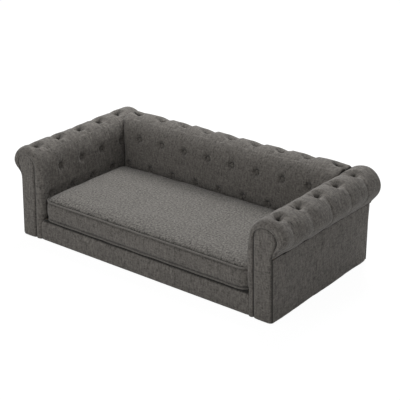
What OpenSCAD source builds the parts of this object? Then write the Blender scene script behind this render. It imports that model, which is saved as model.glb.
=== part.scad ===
// Chesterfield pet sofa: timber frame, tufted arm and back pads, loose seat cushion.
// Millimetres, +Z up, front towards -Y, origin on the floor under the middle.

/* [Body] */
// Width over the outside of the arms at the floor
body_w = 1000; // [960:5:1100]
// Depth from the front facings to the back of the back roll
overall_d = 540; // [520:5:600]
// How far the back roll stands out behind the frame at the floor
back_overhang = 12; // [8:1:18]
// Height of the glides under the frame
glide_h = 3; // [3:1:8]

/* [Tufting] */
// Distance between two buttons of a row
tuft_pitch = 99; // [90:1:100]
// Depth of a button's pit under the crown of the padding
pit_d = 19; // [14:1:20]
// Depth of the creases between the buttons
crease_d = 9; // [6:1:12]
// Radius of a covered button
button_r = 7; // [6:0.5:8]
// Thickness of the dome of a covered button
button_h = 3.5; // [3:0.5:5]

/* [Arms] */
// Radius of the padded arm roll
arm_roll_r = 60.5; // [58:0.5:62]
// Distance from the outer edge of the body to the middle of the roll
arm_roll_inset = 25.5; // [23:0.5:28]
// Height of the middle of the arm roll above the floor
arm_roll_z = 258; // [254:0.5:266]
// Thickness of the padding on the inner face of the arms
arm_pad_t = 24; // [23:0.5:26]
// Thickness of the padding between the arm roll and its former
arm_roll_pad_t = 29.5; // [28:0.5:31]
// How far the former lies below the middle of the arm roll
arm_core_drop = 7; // [4:0.5:10]
// How far the outer side leans in between the floor and the roll
side_lean = 6.5; // [4:0.5:8]

/* [Back] */
// Radius of the padded back roll
back_roll_r = 68; // [66:0.5:70]
// Height of the middle of the back roll above the floor
back_roll_z = 257.5; // [252:0.5:262]
// Thickness of the padding between the back roll and its former
back_roll_pad_t = 28; // [26:0.5:30]
// How far the back's former lies below the middle of the back roll
back_core_drop = 6.5; // [4:0.5:9]
// Thickness of the padding in front of the back panel
back_pad_t = 24; // [23:0.5:27]

/* [Seat] */
// Height of the base rails
rail_h = 59; // [50:1:60]
// Thickness of the base rails
rail_t = 18; // [15:1:22]
// Thickness of the platform board
platform_t = 9; // [6:0.5:12]
// Height of the cushion between its two seams
cushion_h = 64.5; // [55:0.5:75]
// Height of the crown above the cushion's top seam
cushion_crown = 22; // [12:1:24]
// Corner radius of the cushion
cushion_corner_r = 20; // [16:1:40]
// Radius of the piping
piping_r = 3; // [2.5:0.5:3.5]
// Distance of the cushion's seam from the arm padding
cushion_side_gap = 4; // [4:0.5:10]
// Distance of the cushion's rear seam from the back padding
cushion_back_gap = 9; // [9:0.5:11]

/* [Hidden] */

$fn = 64;
eps = 0.01;
// Overrun of every cut, and the gap between a soft piece and its neighbour
cut_over = 2;
soft_gap = 0.3;

// Places that everything follows
half_w = body_w / 2;
y_front = -overall_d / 2;
y_rear = overall_d / 2;
body_rear = y_rear - back_overhang;
board_t = 15;
panel_t = 4;
cover_t = 3;
facing_t = 8;
rear_facing_t = 4;

// Arm section: distances are measured along X from the middle of the sofa
arm_roll_c = [half_w - arm_roll_inset, arm_roll_z];
arm_face = arm_roll_c.x - arm_roll_r;
arm_core_face = arm_face + arm_pad_t;
arm_core_r = arm_roll_r - arm_roll_pad_t;
arm_core_z = arm_roll_z - arm_core_drop;
arm_core_c = [arm_core_face + arm_core_r, arm_core_z];
arm_start_a = -66;
arm_top_row_a = 88;
neck_gap = 2.5;
neck_z = arm_roll_z + arm_roll_r * sin(arm_start_a) - neck_gap;
arm_mid_row_drop = 23;
arm_low_row_drop = 105;
arm_mid_row_z = arm_roll_z - arm_mid_row_drop;
arm_low_row_z = arm_roll_z - arm_low_row_drop;
arm_pad_front = y_front + facing_t;
arm_pad_rear = body_rear - rear_facing_t;
arm_tuft_forward = 16;
arm_tuft_y = (arm_pad_front + arm_pad_rear) / 2 - arm_tuft_forward;
arm_end_margin = 45;
arm_end_r = 14;
arm_tuck_in = 5;
arm_former_a = -34;

// Back section: distances are measured along Y
back_roll_c = [y_rear - back_roll_r, back_roll_z];
back_face = back_roll_c.x - back_roll_r;
back_core_face = back_face + back_pad_t;
back_core_r = back_roll_r - back_roll_pad_t;
back_core_z = back_roll_z - back_core_drop;
back_core_c = [back_core_face + back_core_r, back_core_z];
back_start_a = -60;
back_top_row_a = 85;
back_mid_row_drop = 3.5;
back_low_row_drop = 101.5;
back_mid_row_z = back_roll_z - back_mid_row_drop;
back_low_row_z = back_roll_z - back_low_row_drop;
back_half = arm_face - soft_gap;
back_end_margin = 8;
back_end_r = 5;
back_lean = 14;
back_neck_z = back_roll_z + back_roll_r * sin(back_start_a) - neck_gap;
back_tuck_in = 17;
back_former_a = -30;

// Tufting: shares of a button pitch, and the covered button's tapered back
pillow_end_share = 0.3;
pillow_power = 0.75;
pit_share = 0.24;
button_back = 7.4;
button_stem_r = 1.5;

// Front facing and its piping
facing_head_r = 37;
facing_head_inset = 35;
facing_foot_in = 62;
facing_set = 4;
facing_neck_share = 0.5;
welt_r = 2.5;
welt_ball_share = 1.05;

// Base
z0 = glide_h;
rail_top = z0 + rail_h;
platform_top = rail_top + platform_t;
deck_t = 1.5;
deck_top = platform_top + deck_t;
pad_foot_gap = 5;
pad_foot_z = deck_top + pad_foot_gap;
arm_tuck_rise = 34;
back_tuck_rise = 33;
back_tuck_slope = 15;
arm_tuck_z = pad_foot_z + arm_tuck_rise;
back_tuck_z = pad_foot_z + back_tuck_rise;
back_tuck_top = back_tuck_z + back_tuck_slope;
side_rail_t = 15;
base_half = arm_core_face - soft_gap;
side_rail_in = base_half - side_rail_t;
apron_t = 20;
apron_set = 4;
apron_front = y_front + apron_set;
apron_end_gap = 2;
border_w = 21;
border_r = 7;
apron_half = base_half - border_w - apron_end_gap;
front_rail_y = apron_front + apron_t;
rear_rail_y = rear_y(rail_top, cover_t + panel_t) - rail_t;
cross_share = 0.35;
block_leg = 45;
block_t = 30;
dust_t = 0.8;
glide_share = 0.8;

// Cushion
cushion_front_set = 5.5;
cushion_half = arm_face - cushion_side_gap;
cushion_front = apron_front + cushion_front_set;
cushion_rear = back_face - cushion_back_gap;
cushion_z = deck_top + soft_gap + piping_r;
cushion_top = cushion_z + cushion_h;
cushion_mid = (cushion_front + cushion_rear) / 2;
cushion_deep = (cushion_rear - cushion_front) / 2;
seam_set = piping_r + soft_gap;
cushion_wall = 14;
bottom_panel_t = 1.5;
core_drop = 6;
band_bulge = 3;
band_draw = 2;

// Zip in the cushion's rear band
zip_end_gap = 110;
zip_len = 2 * (cushion_half - zip_end_gap);
zip_z = cushion_z + cushion_h * 0.45;
tape_w = 11;
tape_t = 0.8;
chain_w = 5;
chain_t = 1.6;
slider_l = 12;
slider_w = 8;
slider_t = 2.2;
pull_l = 14;
pull_w = 5;
pull_t = 1.2;
pin_r = 0.8;
pin_clear = 0.08;

// Fasteners
bolt_r = 3;
bolt_head_r = 6;
bolt_head_h = 3;
washer_r = 8;
washer_t = 1.5;
nut_flange_r = 9;
nut_flange_t = 1.5;
nut_barrel_r = 4.2;
nut_barrel_h = 9;
bolt_clear = 0.3;
arm_rail_w = 24;
arm_rail_h = 30;
arm_bolt_z = z0 + rail_h / 2;
bolt_y_shares = [0.16, 0.5, 0.84];
glide_r = 11;
nail_r = 1;
nail_l = 14;

wood = "burlywood";
board = "peru";
cloth = "#5d5650";
cloth_dark = "#4b4540";
foam = "#d9cfae";
steel = "silver";
plastic = "#2b2b2b";

// v held between 0 and 1
function ramp(v) = min(1, max(0, v));
function lerp(a, b, f) = a + (b - a) * f;

// Crown of the padding: 0 along the creases, 1 on a pillow.
// a counts button pitches along the row, b runs 0 to 1 from the top row to the low row.
function pillow(a, b, gaps) =
    let (past = max(-a, a - gaps),
         line = b < 0 || b > 1 ? abs(sin(180 * a))
              : min(abs(sin(180 * (a + b))), abs(sin(180 * (a - b)))))
    max(line, ramp(past / pillow_end_share));

// How near (a, b) lies to a button: 1 on it, 0 from a pit's width away
function near_button(a, b, gaps) =
    let (half = round(b * 2) / 2,
         off = half == 0.5 ? 0.5 : 0,
         col = min(gaps - off, max(off, round(a - off) + off)),
         da = a - col,
         db = (b - half) / 2)
    b < -0.3 || b > 1.3 ? 0 : ramp(1 - sqrt(da * da + db * db) / pit_share);

// A roll pad: a profile that runs from the crease under the roll, over the roll and down
// the face, pulled in along diamond creases and at the buttons. Its section lies in X and
// Z, and its length along Y.
module roll_pad(y0, y1, tuft_mid, margin, per, c, r, a0, top_a, mid_z, low_z,
                core_c, core_r, tuck, end_r, roll_steps) {
    gaps = floor((y1 - y0 - 2 * margin) / tuft_pitch);
    first = tuft_mid - gaps * tuft_pitch / 2;
    last = tuft_mid + gaps * tuft_pitch / 2;
    end_steps = ceil(min(first - y0, y1 - last) / tuft_pitch * per / 2);
    end_shares = [0.55, 0.2, 0];
    cols = concat(
        [y0],
        [for (k = [1 : -1 : 0]) y0 + end_r * (1 - end_shares[k])],
        [for (k = [0 : end_steps - 1]) lerp(y0 + end_r, first, k / end_steps)],
        [for (k = [0 : gaps * per]) first + k * tuft_pitch / per],
        [for (k = [1 : end_steps]) lerp(last, y1 - end_r, k / end_steps)],
        [for (k = [0 : 1]) y1 - end_r * (1 - end_shares[k])],
        [y1]);
    arc = r * (180 - a0) * PI / 180;
    t_top = r * (top_a - a0) * PI / 180;
    t_mid = arc + c.y - mid_z;
    t_low = arc + c.y - low_z;
    t_end = arc + c.y - tuck[0].y;
    half = per / 2;
    roll_turn = (top_a - a0) / roll_steps;
    face_turn = (t_mid - t_top) / half / r * 180 / PI;
    lining_r = (core_r + soft_gap) / cos(max(roll_turn, face_turn) / 2);
    rows = concat(
        [for (k = [0 : roll_steps - 1]) t_top * k / roll_steps],
        [for (k = [0 : half - 1]) lerp(t_top, t_mid, k / half)],
        [for (k = [0 : half - 1]) lerp(t_mid, t_low, k / half)],
        [t_low, (t_low + t_end) / 2, t_end]);
    function angle(t) = min(180, a0 + t / r * 180 / PI);
    function out(t) = [cos(angle(t)), sin(angle(t))];
    function base(t) = t < arc ? c + r * out(t) : [c.x - r, c.y - (t - arc)];
    function row_b(t) = t < t_top ? (t - t_top) / t_mid
                      : t < t_mid ? (t - t_top) / (t_mid - t_top) / 2
                      : 0.5 + (t - t_mid) / (t_low - t_mid) / 2;
    function shoulder(y) =
        let (d = ramp((end_r - min(y - y0, y1 - y)) / end_r))
        end_r * (1 - sqrt(1 - d * d));
    function dip(y, t) =
        let (a = (y - first) / tuft_pitch, b = row_b(t))
        crease_d * (1 - pow(pillow(a, b, gaps), pillow_power))
        + (pit_d - crease_d) * near_button(a, b, gaps)
        + shoulder(y);
    function inner(t) = t < arc ? core_c + lining_r * out(t)
                      : [core_c.x - core_r - soft_gap, base(t).y];
    tucked = [for (p = tuck) [c.x - r + p.x, p.y]];
    depths = [for (y = cols) [for (t = rows) dip(y, t)]];
    nr = len(rows) + len(tuck) - 1;
    nc = len(cols);
    skin = [for (i = [0 : nc - 1])
        concat(
            [for (j = [0 : len(rows) - 1])
                let (p = base(rows[j]) - depths[i][j] * out(rows[j])) [p.x, cols[i], p.y]],
            [for (k = [1 : 1 : len(tuck) - 1])
                let (p = tucked[k]) [p.x + shoulder(cols[i]) / 2, cols[i], p.y]])];
    lining = [for (y = [y0, y1])
        concat(
            [for (t = rows) [inner(t).x, y, inner(t).y]],
            [for (k = [1 : 1 : len(tuck) - 1]) [core_c.x - core_r - soft_gap, y, tuck[k].y]])];
    function at(i, j) = i * nr + j;
    function lin(e, j) = nc * nr + e * nr + j;
    function depth_at(i, j) = j < len(rows) ? depths[i][j] : 0;
    faces = concat(
        [for (i = [0 : nc - 2]) for (j = [0 : nr - 2])
            let (p = at(i, j), q = at(i, j + 1), s = at(i + 1, j + 1), u = at(i + 1, j),
                 valley = depth_at(i, j) + depth_at(i + 1, j + 1)
                        > depth_at(i, j + 1) + depth_at(i + 1, j))
            each valley ? [[p, q, s], [p, s, u]] : [[p, q, u], [q, s, u]]],
        [for (j = [0 : nr - 2])
            each [[lin(0, j), lin(1, j), lin(1, j + 1)], [lin(0, j), lin(1, j + 1), lin(0, j + 1)]]],
        [for (j = [0 : nr - 2])
            each [[at(0, j + 1), at(0, j), lin(0, j)], [at(0, j + 1), lin(0, j), lin(0, j + 1)]]],
        [for (j = [0 : nr - 2])
            each [[at(nc - 1, j), at(nc - 1, j + 1), lin(1, j + 1)],
                  [at(nc - 1, j), lin(1, j + 1), lin(1, j)]]],
        [for (i = [0 : nc - 2]) [lin(0, 0), at(i, 0), at(i + 1, 0)]],
        [[lin(0, 0), at(nc - 1, 0), lin(1, 0)]],
        [for (i = [0 : nc - 2]) [lin(0, nr - 1), at(i + 1, nr - 1), at(i, nr - 1)]],
        [[lin(0, nr - 1), lin(1, nr - 1), at(nc - 1, nr - 1)]]);
    polyhedron(points = [for (col = skin) each col, for (col = lining) each col], faces = faces);
}

// A covered button with a tapered back, its dome towards +Z
module covered_button() {
    rotate_extrude()
        polygon([[0, 0], [button_stem_r, 1.2 * button_stem_r], [button_r * 0.9, button_back * 0.9],
                 [button_r, button_back], [button_r * 0.92, button_back + button_h * 0.45],
                 [button_r * 0.6, button_back + button_h * 0.85], [0, button_back + button_h]]);
}

// Buttons of a roll pad, on the bottoms of its pits
module pad_buttons(y0, y1, tuft_mid, margin, c, r, top_a, mid_z, low_z) {
    gaps = floor((y1 - y0 - 2 * margin) / tuft_pitch);
    first = tuft_mid - gaps * tuft_pitch / 2;
    seat = pit_d - soft_gap;
    for (k = [0 : gaps]) {
        translate([c.x + (r - seat) * cos(top_a), first + k * tuft_pitch, c.y + (r - seat) * sin(top_a)])
            rotate([0, 90 - top_a, 0]) covered_button();
        translate([c.x - r + seat, first + k * tuft_pitch, low_z])
            rotate([0, -90, 0]) covered_button();
    }
    for (k = [0 : gaps - 1])
        translate([c.x - r + seat, first + (k + 0.5) * tuft_pitch, mid_z])
            rotate([0, -90, 0]) covered_button();
}

// Section drawn in X and Z, extruded from y0 to y1
module along_y(y0, y1) {
    translate([0, y1, 0]) rotate([90, 0, 0]) linear_extrude(y1 - y0) children();
}

// Turns a section's X into Y, for the back
module as_back() { rotate([0, 0, 90]) children(); }
module left() { mirror([1, 0, 0]) children(); }

// Outer line of a side: set_in measures inwards from the cloth
function side_x(z, set_in) = half_w - set_in - side_lean * (z - z0) / (neck_z - z0);
function rear_y(z, set_in) = body_rear - set_in - back_lean * (z - z0) / (back_neck_z - z0);

module arm_board_section() {
    inner_x = arm_core_face + panel_t;
    skin = cover_t + panel_t + eps;
    translate(arm_core_c) circle(r = arm_core_r - panel_t);
    polygon([[inner_x, z0], [side_x(z0, skin), z0], [side_x(neck_z, skin), neck_z],
             [arm_core_c.x, arm_core_c.y], [inner_x, arm_core_c.y]]);
}

module arm_front_board() {
    color(board) along_y(arm_pad_front, arm_pad_front + board_t) arm_board_section();
}

module arm_rear_board() {
    color(board) along_y(arm_pad_rear - board_t, arm_pad_rear) arm_board_section();
}

module arm_rails() {
    y0 = arm_pad_front + board_t;
    len_y = arm_pad_rear - board_t - y0;
    x0 = arm_core_face + panel_t;
    color(wood) {
        difference() {
            translate([x0, y0, z0]) cube([arm_rail_w, len_y, rail_h]);
            arm_bolt_places() arm_bolt_hole();
        }
        translate([arm_core_c.x - arm_core_r / 2, y0, arm_core_z - arm_rail_h / 2])
            cube([arm_core_r, len_y, arm_rail_w]);
        translate([side_x(neck_z, cover_t + panel_t) - rail_t, y0, neck_z - arm_rail_h - arm_rail_w])
            cube([rail_t - side_lean / 4, len_y, arm_rail_h]);
    }
}

// Places of the bolts that hold the arms to the base, turned to point outwards
module arm_bolt_places() {
    for (f = bolt_y_shares)
        translate([side_rail_in, lerp(front_rail_y + rail_t, rear_rail_y, f), arm_bolt_z])
            rotate([0, 90, 0]) children();
}

bolt_reach = side_rail_t + soft_gap + panel_t + arm_rail_w - nut_flange_t;
module arm_bolt_hole() {
    translate([0, 0, -cut_over]) cylinder(r = bolt_r + bolt_clear, h = bolt_reach + rail_t);
    translate([0, 0, side_rail_t + soft_gap + panel_t + arm_rail_w - nut_barrel_h])
        cylinder(r = nut_barrel_r + bolt_clear, h = nut_barrel_h + cut_over);
}

module arm_inner_panel() {
    color(board) difference() {
        translate([arm_core_face, arm_pad_front, z0])
            cube([panel_t, arm_pad_rear - arm_pad_front, arm_core_z - z0]);
        arm_bolt_places() arm_bolt_hole();
    }
}

panel_top = neck_z + panel_t;
module arm_outer_panel() {
    color(board) along_y(arm_pad_front, arm_pad_rear)
        polygon([[side_x(z0, cover_t + panel_t), z0], [side_x(z0, cover_t), z0],
                 [side_x(panel_top, cover_t), panel_top],
                 [side_x(panel_top, cover_t + panel_t), panel_top]]);
}

// Half tube from the crease under a roll, over its top, to its face
module former_section(c, r, a0) {
    far = r * 2;
    translate(c) difference() {
        circle(r = r);
        circle(r = r - panel_t);
        polygon([[0, 0], [-far, 0], [-far, -far], [far * cos(a0), -far], [far * cos(a0), far * sin(a0)]]);
    }
}

module arm_roll_former() {
    color(board) along_y(arm_pad_front, arm_pad_rear)
        former_section(arm_core_c, arm_core_r, arm_former_a);
}

module arm_pad() {
    color(cloth) roll_pad(arm_pad_front, arm_pad_rear, arm_tuft_y, arm_end_margin, 8,
                          arm_roll_c, arm_roll_r, arm_start_a, arm_top_row_a,
                          arm_mid_row_z, arm_low_row_z, arm_core_c, arm_core_r,
                          [[0, arm_tuck_z], [arm_tuck_in, pad_foot_z]], arm_end_r, 7);
}

module arm_buttons() {
    color(cloth_dark) pad_buttons(arm_pad_front, arm_pad_rear, arm_tuft_y, arm_end_margin,
                                  arm_roll_c, arm_roll_r, arm_top_row_a,
                                  arm_mid_row_z, arm_low_row_z);
}

module arm_outer_cover() {
    color(cloth) along_y(arm_pad_front, arm_pad_rear)
        polygon([[side_x(z0, cover_t - soft_gap), z0], [side_x(z0, 0), z0],
                 [side_x(neck_z, 0), neck_z], [side_x(neck_z, cover_t - soft_gap), neck_z]]);
}

// Outline of the front facing: a round head on a leg that widens towards the floor
module facing_section(set_in) {
    head = [half_w - facing_head_inset, arm_core_z];
    translate(head) circle(r = facing_head_r - set_in);
    polygon([[half_w - facing_foot_in + set_in, z0 + set_in], [side_x(z0, set_in), z0 + set_in],
             [side_x(neck_z, set_in), head.y - facing_head_r * facing_neck_share],
             [head.x, head.y], [head.x - facing_head_r + set_in, head.y]]);
}

module arm_front_facing() {
    color(cloth) along_y(y_front + 2 * welt_r + soft_gap, arm_pad_front - soft_gap) facing_section(0);
    color(cloth) along_y(y_front, y_front + 2 * welt_r + 2 * soft_gap)
        facing_section(2 * welt_r + soft_gap);
}

// Piping laid round the edge of the facing, from the floor up, over the head and down
// to the neck. The inner leg meets the head's ring on its tangent.
module arm_facing_welt() {
    head = [half_w - facing_head_inset, arm_core_z];
    ring = facing_head_r - welt_r;
    y = y_front + welt_r;
    foot_in = [half_w - facing_foot_in + welt_r, z0];
    foot_out = [side_x(z0, welt_r), z0];
    to_foot = foot_in - head;
    in_a = atan2(to_foot.y, to_foot.x) + 360 - acos(ring / norm(to_foot));
    out_a = -asin(facing_neck_share);
    top_in = head + ring * [cos(in_a), sin(in_a)];
    top_out = head + ring * [cos(out_a), sin(out_a)];
    color(cloth_dark) {
        welt_leg(foot_in, top_in, y);
        welt_leg(foot_out, top_out, y);
        for (p = [top_in, top_out])
            translate([p.x, y, p.y]) sphere(r = welt_r * welt_ball_share);
        translate([head.x, y, head.y]) rotate([90, 0, 0])
            rotate_extrude(angle = in_a - out_a, start = out_a) translate([ring, 0]) circle(r = welt_r);
    }
}
module welt_leg(from, to, y) {
    way = to - from;
    translate([from.x, y, from.y]) rotate([0, atan2(way.x, way.y), 0])
        cylinder(r = welt_r, h = norm(way));
}

module arm_rear_facing() {
    color(cloth) along_y(arm_pad_rear + soft_gap, body_rear) facing_section(facing_set);
}

// Base frame
module base_front_rail() {
    color(wood) translate([-side_rail_in, front_rail_y, z0])
        cube([2 * side_rail_in, rail_t, rail_h]);
}

module base_rear_rail() {
    color(wood) translate([-side_rail_in, rear_rail_y, z0])
        cube([2 * side_rail_in, rail_t, rail_h]);
}

module base_side_rails() {
    color(wood) for (m = [0, 1]) mirror([m, 0, 0]) difference() {
        translate([side_rail_in, front_rail_y, z0])
            cube([side_rail_t, rear_rail_y + rail_t - front_rail_y, rail_h]);
        arm_bolt_places() arm_bolt_hole();
    }
}

module base_cross_rails() {
    y0 = front_rail_y + rail_t;
    color(wood) for (m = [-1, 1])
        translate([m * cross_share * side_rail_in - rail_t / 2, y0, z0])
            cube([rail_t, rear_rail_y - y0, rail_h]);
}

// Triangular glue blocks in the corners of the base frame
module base_corner_blocks() {
    color(board) for (m = [0, 1]) mirror([m, 0, 0])
        for (side = [[front_rail_y + rail_t, 1], [rear_rail_y, -1]])
            translate([side_rail_in, side[0], rail_top - block_t])
                linear_extrude(block_t)
                    polygon([[0, 0], [-block_leg, 0], [-block_leg, side[1] * block_leg / 4],
                             [-block_leg / 4, side[1] * block_leg], [0, side[1] * block_leg]]);
}

platform_rear = back_core_face - soft_gap;
module platform_board() {
    color(board) translate([-base_half, front_rail_y, rail_top])
        cube([2 * base_half, platform_rear - front_rail_y, platform_t]);
}

module platform_deck_cloth() {
    color(cloth_dark) translate([-base_half, front_rail_y, platform_top])
        cube([2 * base_half, platform_rear - front_rail_y, deck_t]);
}

// Upholstered apron in front of the base, rounded over its top
module front_apron_pad() {
    top = deck_top - soft_gap;
    y1 = front_rail_y - soft_gap;
    r = (y1 - apron_front) / 2;
    color(cloth) along_x(-apron_half, apron_half) {
        translate([apron_front, z0]) square([2 * r, top - z0 - r]);
        translate([apron_front + r, top - r]) circle(r = r);
    }
}

// Padded strips that carry the arms' front border down to the floor
module front_border_pads() {
    r = border_r;
    deep = front_rail_y - arm_pad_front - soft_gap;
    color(cloth) for (m = [0, 1]) mirror([m, 0, 0])
        translate([base_half - border_w, arm_pad_front, z0])
            linear_extrude(pad_foot_z - soft_gap - z0) {
                for (x = [r, border_w - r]) translate([x, r]) circle(r = r);
                translate([r, 0]) square([border_w - 2 * r, r]);
                translate([0, r]) square([border_w, deep - r]);
            }
}

module glide_places() {
    for (m = [-1, 1]) for (y = [arm_pad_front + 3 * board_t, arm_pad_rear - 3 * board_t])
        translate([m * (arm_core_face + panel_t + arm_rail_w / 2), y, 0]) children();
    for (m = [-1, 1]) for (y = [front_rail_y + rail_t / 2, rear_rail_y + rail_t / 2])
        translate([m * cross_share * side_rail_in, y, 0]) children();
}

module glides() {
    color(plastic) glide_places() difference() {
        union() {
            cylinder(r1 = glide_r * glide_share, r2 = glide_r, h = glide_h / 2);
            translate([0, 0, glide_h / 2]) cylinder(r = glide_r, h = glide_h / 2);
        }
        translate([0, 0, -cut_over]) cylinder(r = nail_r * 2.5, h = glide_h / 2 + cut_over);
        cylinder(r = nail_r, h = glide_h + cut_over);
    }
}

module glide_nails() {
    color(steel) glide_places() {
        translate([0, 0, glide_h / 2 - nail_r]) cylinder(r = nail_r * 2.3, h = nail_r);
        translate([0, 0, glide_h / 2 - eps]) cylinder(r = nail_r, h = glide_h / 2);
    }
}

module dust_cover() {
    reach = half_w - cover_t;
    color("#1f1f1f") difference() {
        translate([-reach, arm_pad_front, z0 - dust_t])
            cube([2 * reach, arm_pad_rear - arm_pad_front, dust_t]);
        glide_places() translate([0, 0, -cut_over]) cylinder(r = glide_r + cut_over, h = z0 + cut_over * 2);
    }
}

// Back
module back_board_section() {
    inner_y = back_core_face + panel_t;
    skin = cover_t + panel_t + eps;
    disc_r = back_core_r - panel_t;
    neck = back_neck_z - panel_t;
    translate(back_core_c) circle(r = disc_r);
    polygon([[inner_y, rail_top], [rear_y(rail_top, skin), rail_top],
             [rear_y(neck, skin), neck], [back_core_c.x, back_core_c.y - disc_r],
             [back_core_c.x, back_core_c.y], [inner_y, back_core_c.y]]);
}

module along_x(x0, x1) {
    translate([x0, 0, 0]) rotate([90, 0, 90]) linear_extrude(x1 - x0) children();
}

module back_end_boards() {
    color(board) for (m = [0, 1]) mirror([m, 0, 0])
        along_x(back_half - board_t, back_half) back_board_section();
}

module back_rails() {
    w = 2 * (back_half - board_t);
    color(wood) translate([-w / 2, 0, 0]) {
        translate([0, back_core_face + panel_t, rail_top]) cube([w, rail_t, arm_rail_h]);
        translate([0, back_core_c.x - back_core_r / 2, back_core_z - arm_rail_h / 2])
            cube([w, back_core_r, rail_t]);
        translate([0, rear_y(z0, cover_t + panel_t) - back_lean - rail_t, back_neck_z - 2 * arm_rail_h])
            cube([w, rail_t, arm_rail_h]);
        translate([0, rear_rail_y - back_lean / 2 - soft_gap, rail_top]) cube([w, rail_t, arm_rail_h]);
    }
}

module back_inner_panel() {
    color(board) translate([-back_half, back_core_face, rail_top])
        cube([2 * back_half, panel_t, back_core_z - rail_top]);
}

back_panel_top = back_neck_z + panel_t / 2;
module back_outer_panel() {
    color(board) along_x(-back_half, back_half)
        polygon([[rear_y(z0, cover_t + panel_t), z0], [rear_y(z0, cover_t), z0],
                 [rear_y(back_panel_top, cover_t), back_panel_top],
                 [rear_y(back_panel_top, cover_t + panel_t), back_panel_top]]);
}

module back_roll_former() {
    color(board) along_x(-back_half, back_half)
        former_section(back_core_c, back_core_r, back_former_a);
}

module back_pad() {
    color(cloth) as_back() roll_pad(-back_half, back_half, 0, back_end_margin, 6,
                                    back_roll_c, back_roll_r, back_start_a, back_top_row_a,
                                    back_mid_row_z, back_low_row_z, back_core_c, back_core_r,
                                    [[0, back_tuck_top], [back_tuck_in, back_tuck_z],
                                     [back_tuck_in, pad_foot_z]], back_end_r, 7);
}

module back_buttons() {
    color(cloth_dark) as_back() pad_buttons(-back_half, back_half, 0, back_end_margin,
                                            back_roll_c, back_roll_r, back_top_row_a,
                                            back_mid_row_z, back_low_row_z);
}

// Cloth over the outside of the back: wide below the arm pads, between them above
module back_outer_cover() {
    color(cloth) {
        along_x(-back_half, back_half) rear_sheet(z0, back_neck_z);
        along_x(-base_half, base_half) rear_sheet(z0, pad_foot_z - soft_gap);
    }
}
module rear_sheet(low, high) {
    skin = cover_t - soft_gap;
    polygon([[rear_y(low, skin), low], [rear_y(low, 0), low],
             [rear_y(high, 0), high], [rear_y(high, skin), high]]);
}

// Fasteners that hold the arms to the base
module both_sides() { for (m = [0, 1]) mirror([m, 0, 0]) children(); }

module assembly_bolts() {
    color(steel) both_sides() arm_bolt_places() {
        translate([0, 0, -washer_t - bolt_head_h]) difference() {
            cylinder(r = bolt_head_r, h = bolt_head_h);
            translate([0, 0, -cut_over]) cylinder(r = bolt_r, h = bolt_head_h / 2 + cut_over, $fn = 6);
        }
        translate([0, 0, -washer_t - eps]) cylinder(r = bolt_r, h = bolt_reach + washer_t);
    }
}

module bolt_washers() {
    color(steel) both_sides() arm_bolt_places() translate([0, 0, -washer_t]) difference() {
        cylinder(r = washer_r, h = washer_t);
        translate([0, 0, -cut_over]) cylinder(r = bolt_r + bolt_clear, h = washer_t + 2 * cut_over);
    }
}

// Threaded inserts pressed in from inside the arms
module tee_nuts() {
    color(steel) both_sides() arm_bolt_places()
        translate([0, 0, side_rail_t + soft_gap + panel_t + arm_rail_w]) difference() {
            union() {
                cylinder(r = nut_flange_r, h = nut_flange_t);
                translate([0, 0, -nut_barrel_h]) cylinder(r = nut_barrel_r, h = nut_barrel_h + eps);
            }
            translate([0, 0, -nut_barrel_h - cut_over])
                cylinder(r = bolt_r + soft_gap / 6, h = nut_barrel_h + nut_flange_t + 2 * cut_over);
        }
}

// Cushion outline as points, set in by a distance, anticlockwise from the front's right end.
// Each point carries its outward direction and its place along its side, -1 to 1.
corner_steps = 5;
long_steps = 14;
short_steps = 7;
function cushion_ring(set_in) =
    let (w = cushion_half - set_in, d = cushion_deep - set_in, r = cushion_corner_r - set_in)
    concat(
        [for (k = [0 : corner_steps - 1]) corner_point(w, d, r, 1, -1, -90, k)],
        [for (k = [0 : short_steps - 1]) let (f = lerp(-1, 1, k / short_steps))
            [w, f * (d - r), 1, 0, f]],
        [for (k = [0 : corner_steps - 1]) corner_point(w, d, r, 1, 1, 0, k)],
        [for (k = [0 : long_steps - 1]) let (f = lerp(1, -1, k / long_steps))
            [f * (w - r), d, 0, 1, f]],
        [for (k = [0 : corner_steps - 1]) corner_point(w, d, r, -1, 1, 90, k)],
        [for (k = [0 : short_steps - 1]) let (f = lerp(1, -1, k / short_steps))
            [-w, f * (d - r), -1, 0, f]],
        [for (k = [0 : corner_steps - 1]) corner_point(w, d, r, -1, -1, 180, k)],
        [for (k = [0 : long_steps - 1]) let (f = lerp(-1, 1, k / long_steps))
            [f * (w - r), -d, 0, -1, f]]);
function corner_point(w, d, r, sx, sy, a0, k) =
    let (a = a0 + 90 * k / corner_steps)
    [sx * (w - r) + r * cos(a), sy * (d - r) + r * sin(a), cos(a), sin(a), 1];

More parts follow.
